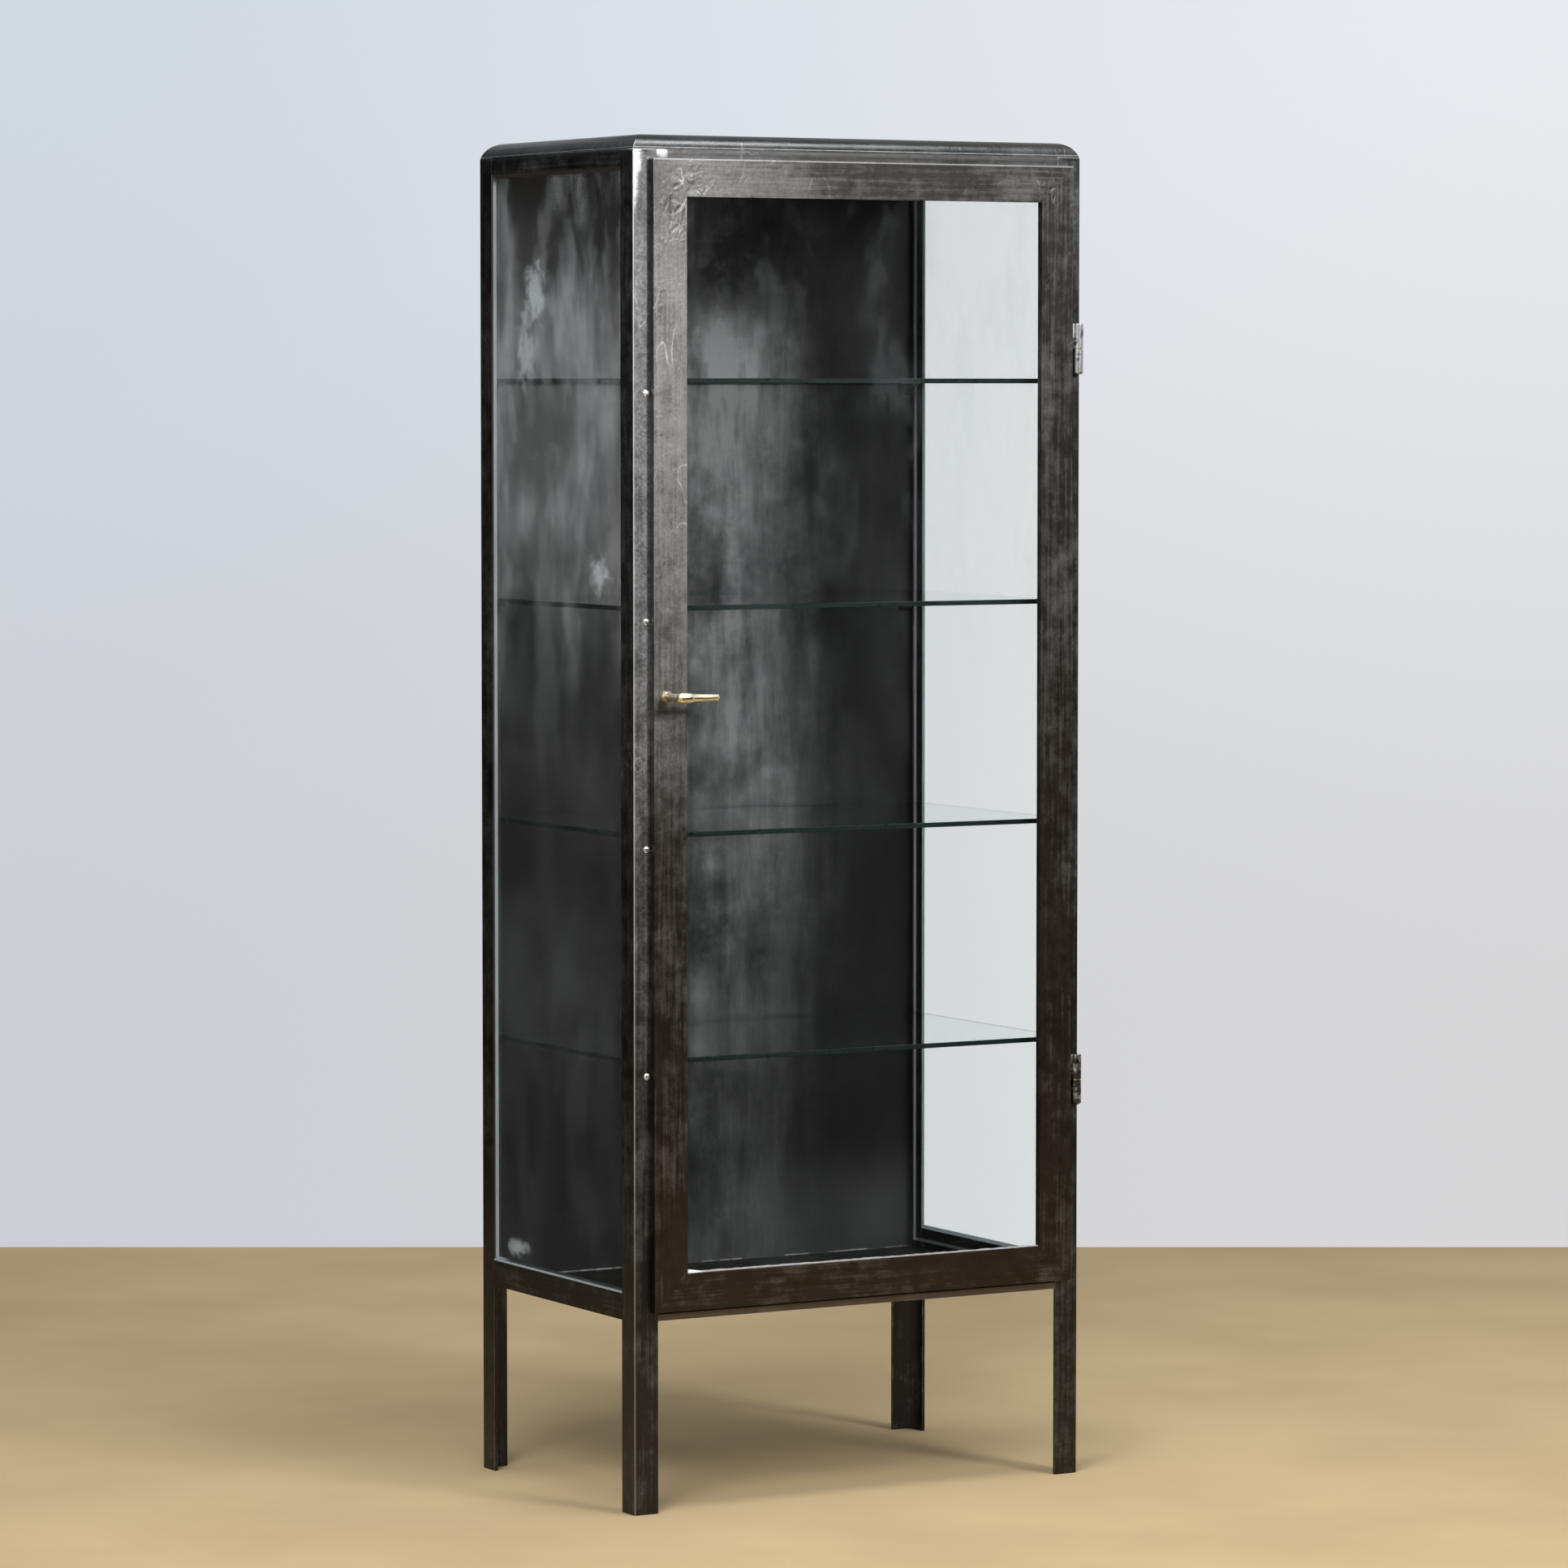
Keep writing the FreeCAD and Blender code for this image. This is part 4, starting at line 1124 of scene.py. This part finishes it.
def slotted_screws(node, profile, outward, head_face):
    """Detailed screws in the places of a solid's group of screws, each slot turned its own way."""
    turns = random.Random(len(node))
    screws, slots = bmesh.new(), bmesh.new()
    look = Vector((0, outward, 0)).to_track_quat("Z", "X").to_matrix().to_4x4()
    head_top = Matrix.Translation((0, 0, profile[-1][1]))
    block = Matrix.Diagonal((slot_width, slot_length, 2 * slot_depth, 1.0))
    places = screw_middles(node)
    for x, z in places:
        turned = Matrix.Rotation(turns.uniform(0, math.pi), 4, "Z")
        place = Matrix.Translation((x, head_face, z)) @ look @ turned
        spun(screws, profile, screw_sides, place)
        bmesh.ops.create_cube(slots, size=1.0, matrix=place @ head_top @ block)
    piece = new_object(node + "_slotted", keep_mesh(screws, node + "_slotted"))
    cut_away(piece, keep_mesh(slots, "slots"))
    smooth_by_angle(piece.data, screw_sharp)
    cover(piece.data, bright_steel)
    print(node, "screws:", len(places))
    return stand_for(piece, node)


print("slot", slot_width, "m wide and", slot_depth, "m deep")

# %% Three kinds of screw
shank, tail, head, skin = 0.002, -0.0085, 0.0045, -0.00005
rear_longer = 0.0012
stem = [(0, tail), (shank, tail)]
rear_stem = [(radius, height - rear_longer) for radius, height in stem]
crown = [(shank, 0), (head, 0), (head, 0.0008), (0.0042, 0.0016), (0.0033, 0.0022)]
crown += [(0.0018, 0.00255), (0, 0.0026)]
sunk_head = [(shank, -0.0026), (head, skin), (0, skin)]
slotted_screws("bracket_screws_front_left", stem + crown, -1, front_face)
slotted_screws("bracket_screws_front_right", stem + sunk_head, -1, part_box("upright_front_right")[0].y)
slotted_screws("bracket_screws_rear", rear_stem + crown, 1, rear_face)

# %% [markdown]
# ## Hinges
# The lift-off hinges are bright, filed steel with dark lines where grime sits in the joints. They
# could be turned again from profiles, but their solids are right already, so they get rounded
# edges and a filed finish, grimier on the lower hinge.

# %% Hinges
filed_dark, filed_bright, grime_tone = (0.30, 0.30, 0.30), (0.74, 0.74, 0.74), (0.06, 0.057, 0.055)
hinge_arris = 0.0006
hinge_steel, tree, shader, coords = start_finish("hinge_steel")
filed = clouds(tree, coords, scale=150.0, detail=6.0, rough=0.7, stretch=(1, 1, 0.3))
more_below = remap(tree, part_of(tree, coords, "Z"), (0.7, 1.3), (0.14, 0.0))
spots = clouds(tree, coords, scale=90.0, detail=6.0, rough=0.7)
grime = remap(tree, plus(tree, spots, more_below), (0.50, 0.66))
filed_tone = blend_colours(tree, filed, filed_dark, filed_bright)
fill(tree, shader, {
    "Base Color": blend_colours(tree, grime, filed_tone, grime_tone),
    "Metallic": 1.0,
    "Roughness": remap(tree, filed, (0.3, 0.7), (0.25, 0.45)),
})
emboss(tree, shader, filed, strength=0.3, depth=0.0006)
for level in ("lower", "upper"):
    rounded("hinge_frame_half_" + level, hinge_steel, hinge_steel, hinge_arris)
    rounded("hinge_door_half_" + level, hinge_steel, hinge_steel, hinge_arris)
    dress("hinge_pin_" + level, hinge_steel)
print("hinges: 2")

# %% [markdown]
# ## Brass lever
# Years of hands have polished the lever pale. Brass reflects the room with a warm tint, so the
# finish is mostly a clean metal with faint rub marks. On a lathe the arm and the neck are two
# turnings at right angles. They are made the same way here: two spun profiles, joined into one.

# %% Brass
brass_pale, brass_dull = (0.90, 0.83, 0.64), (0.62, 0.52, 0.33)
rose_arris, rose_sharp = 0.0005, 25.0
brass, tree, shader, coords = start_finish("pale_brass")
rubbed = clouds(tree, coords, scale=180.0, detail=6.0, rough=0.65, stretch=(0.4, 1, 1))
brass_tone = blend_colours(tree, remap(tree, rubbed, (0.35, 0.75)), brass_pale, brass_dull)
brass_rough = remap(tree, rubbed, (0.3, 0.7), (0.16, 0.34))
fill(tree, shader, {"Base Color": brass_tone, "Metallic": 1.0, "Roughness": brass_rough})
rounded("handle_rose", brass, brass, rose_arris, sharp=rose_sharp)
dress("hinge_washers", brass)
print("rose and washers dressed")

# %% Profiles of the lever
lever_low, lever_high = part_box("handle_lever")
boss = 0.0064
axis_x, axis_y = lever_low.x + boss, lever_low.y + boss
axis_z = (lever_low.z + lever_high.z) / 2
reach, neck = lever_high.x - axis_x, lever_high.y - axis_y
round_end = [(0, -boss), (0.0025, -0.0060), (0.0045, -0.0047), (0.0058, -0.0027), (boss, 0)]
collar = [(boss, 0.006), (0.0063, 0.0108), (0.0059, 0.0132), (0.0052, 0.0146), (0.0049, 0.0162)]
arm = [(0.0046, 0.030), (0.0042, reach - 0.0026), (0.0039, reach - 0.0008), (0.0032, reach), (0, reach)]
neck_start = [(0, 0), (0.0046, 0), (0.0045, neck - 0.006), (0.0048, neck - 0.0028)]
neck_foot = [(0.0054, neck - 0.0008), (0.0054, neck), (0, neck)]
print("lever reaches", round(reach, 4), "and its neck", round(neck, 4))

# %% Turned lever
lever_sides, lever_sharp = 48, 38
lever_middle = Matrix.Translation((axis_x, axis_y, axis_z))


def spun_mesh(name, profile, along):
    """A profile spun about a line through the middle of the lever's boss."""
    work = bmesh.new()
    look = Vector(along).to_track_quat("Z", "X").to_matrix().to_4x4()
    spun(work, profile, lever_sides, lever_middle @ look)
    return keep_mesh(work, name)


arm_mesh = spun_mesh("handle_lever_turned", round_end + collar + arm, (1, 0, 0))
lever = new_object("handle_lever_turned", arm_mesh)
cut_away(lever, spun_mesh("neck", neck_start + neck_foot, (0, 1, 0)), "UNION")
cover(lever.data, brass)
smooth_by_angle(lever.data, lever_sharp)
stand_for(lever, "handle_lever")
print("lever faces:", len(lever.data.polygons))

# %% [markdown]
# ## The rest of the hardware
# Brackets, beads and the latch are plain steel pieces that seldom show. Leaving them as bare solids
# would save time, but they show as soon as the door opens, so they take the same family of
# finishes: blackened, patinated or plain.

# %% Hardware
plain_dark, plain_worn = (0.20, 0.20, 0.20), (0.42, 0.42, 0.41)
black_dark, black_worn = (0.012, 0.012, 0.012), (0.05, 0.05, 0.05)
plain_steel = patinated_steel("plain_steel", plain_dark, plain_worn, "Z", polish_and_light=(0.2, 1.4))
black_steel = patinated_steel("black_steel", black_dark, black_worn, "X", polish_and_light=(0.6, 2.2))
small_arris = 0.0004
for node in ("shelf_brackets_front", "shelf_brackets_rear"):
    rounded(node, black_steel, black_steel, small_arris)
for steel, sides in ((stile_steel, ("left", "right")), (door_rail_steel, ("top", "bottom"))):
    for side in sides:
        rounded("door_bead_" + side, steel, door_edge, small_arris)
for node in ("handle_spindle", "latch_tongue", "latch_nut", "handle_bush_nut"):
    rounded(node, plain_steel, plain_steel, small_arris)
dress("door_bead_screws", plain_steel)
print("hardware dressed")
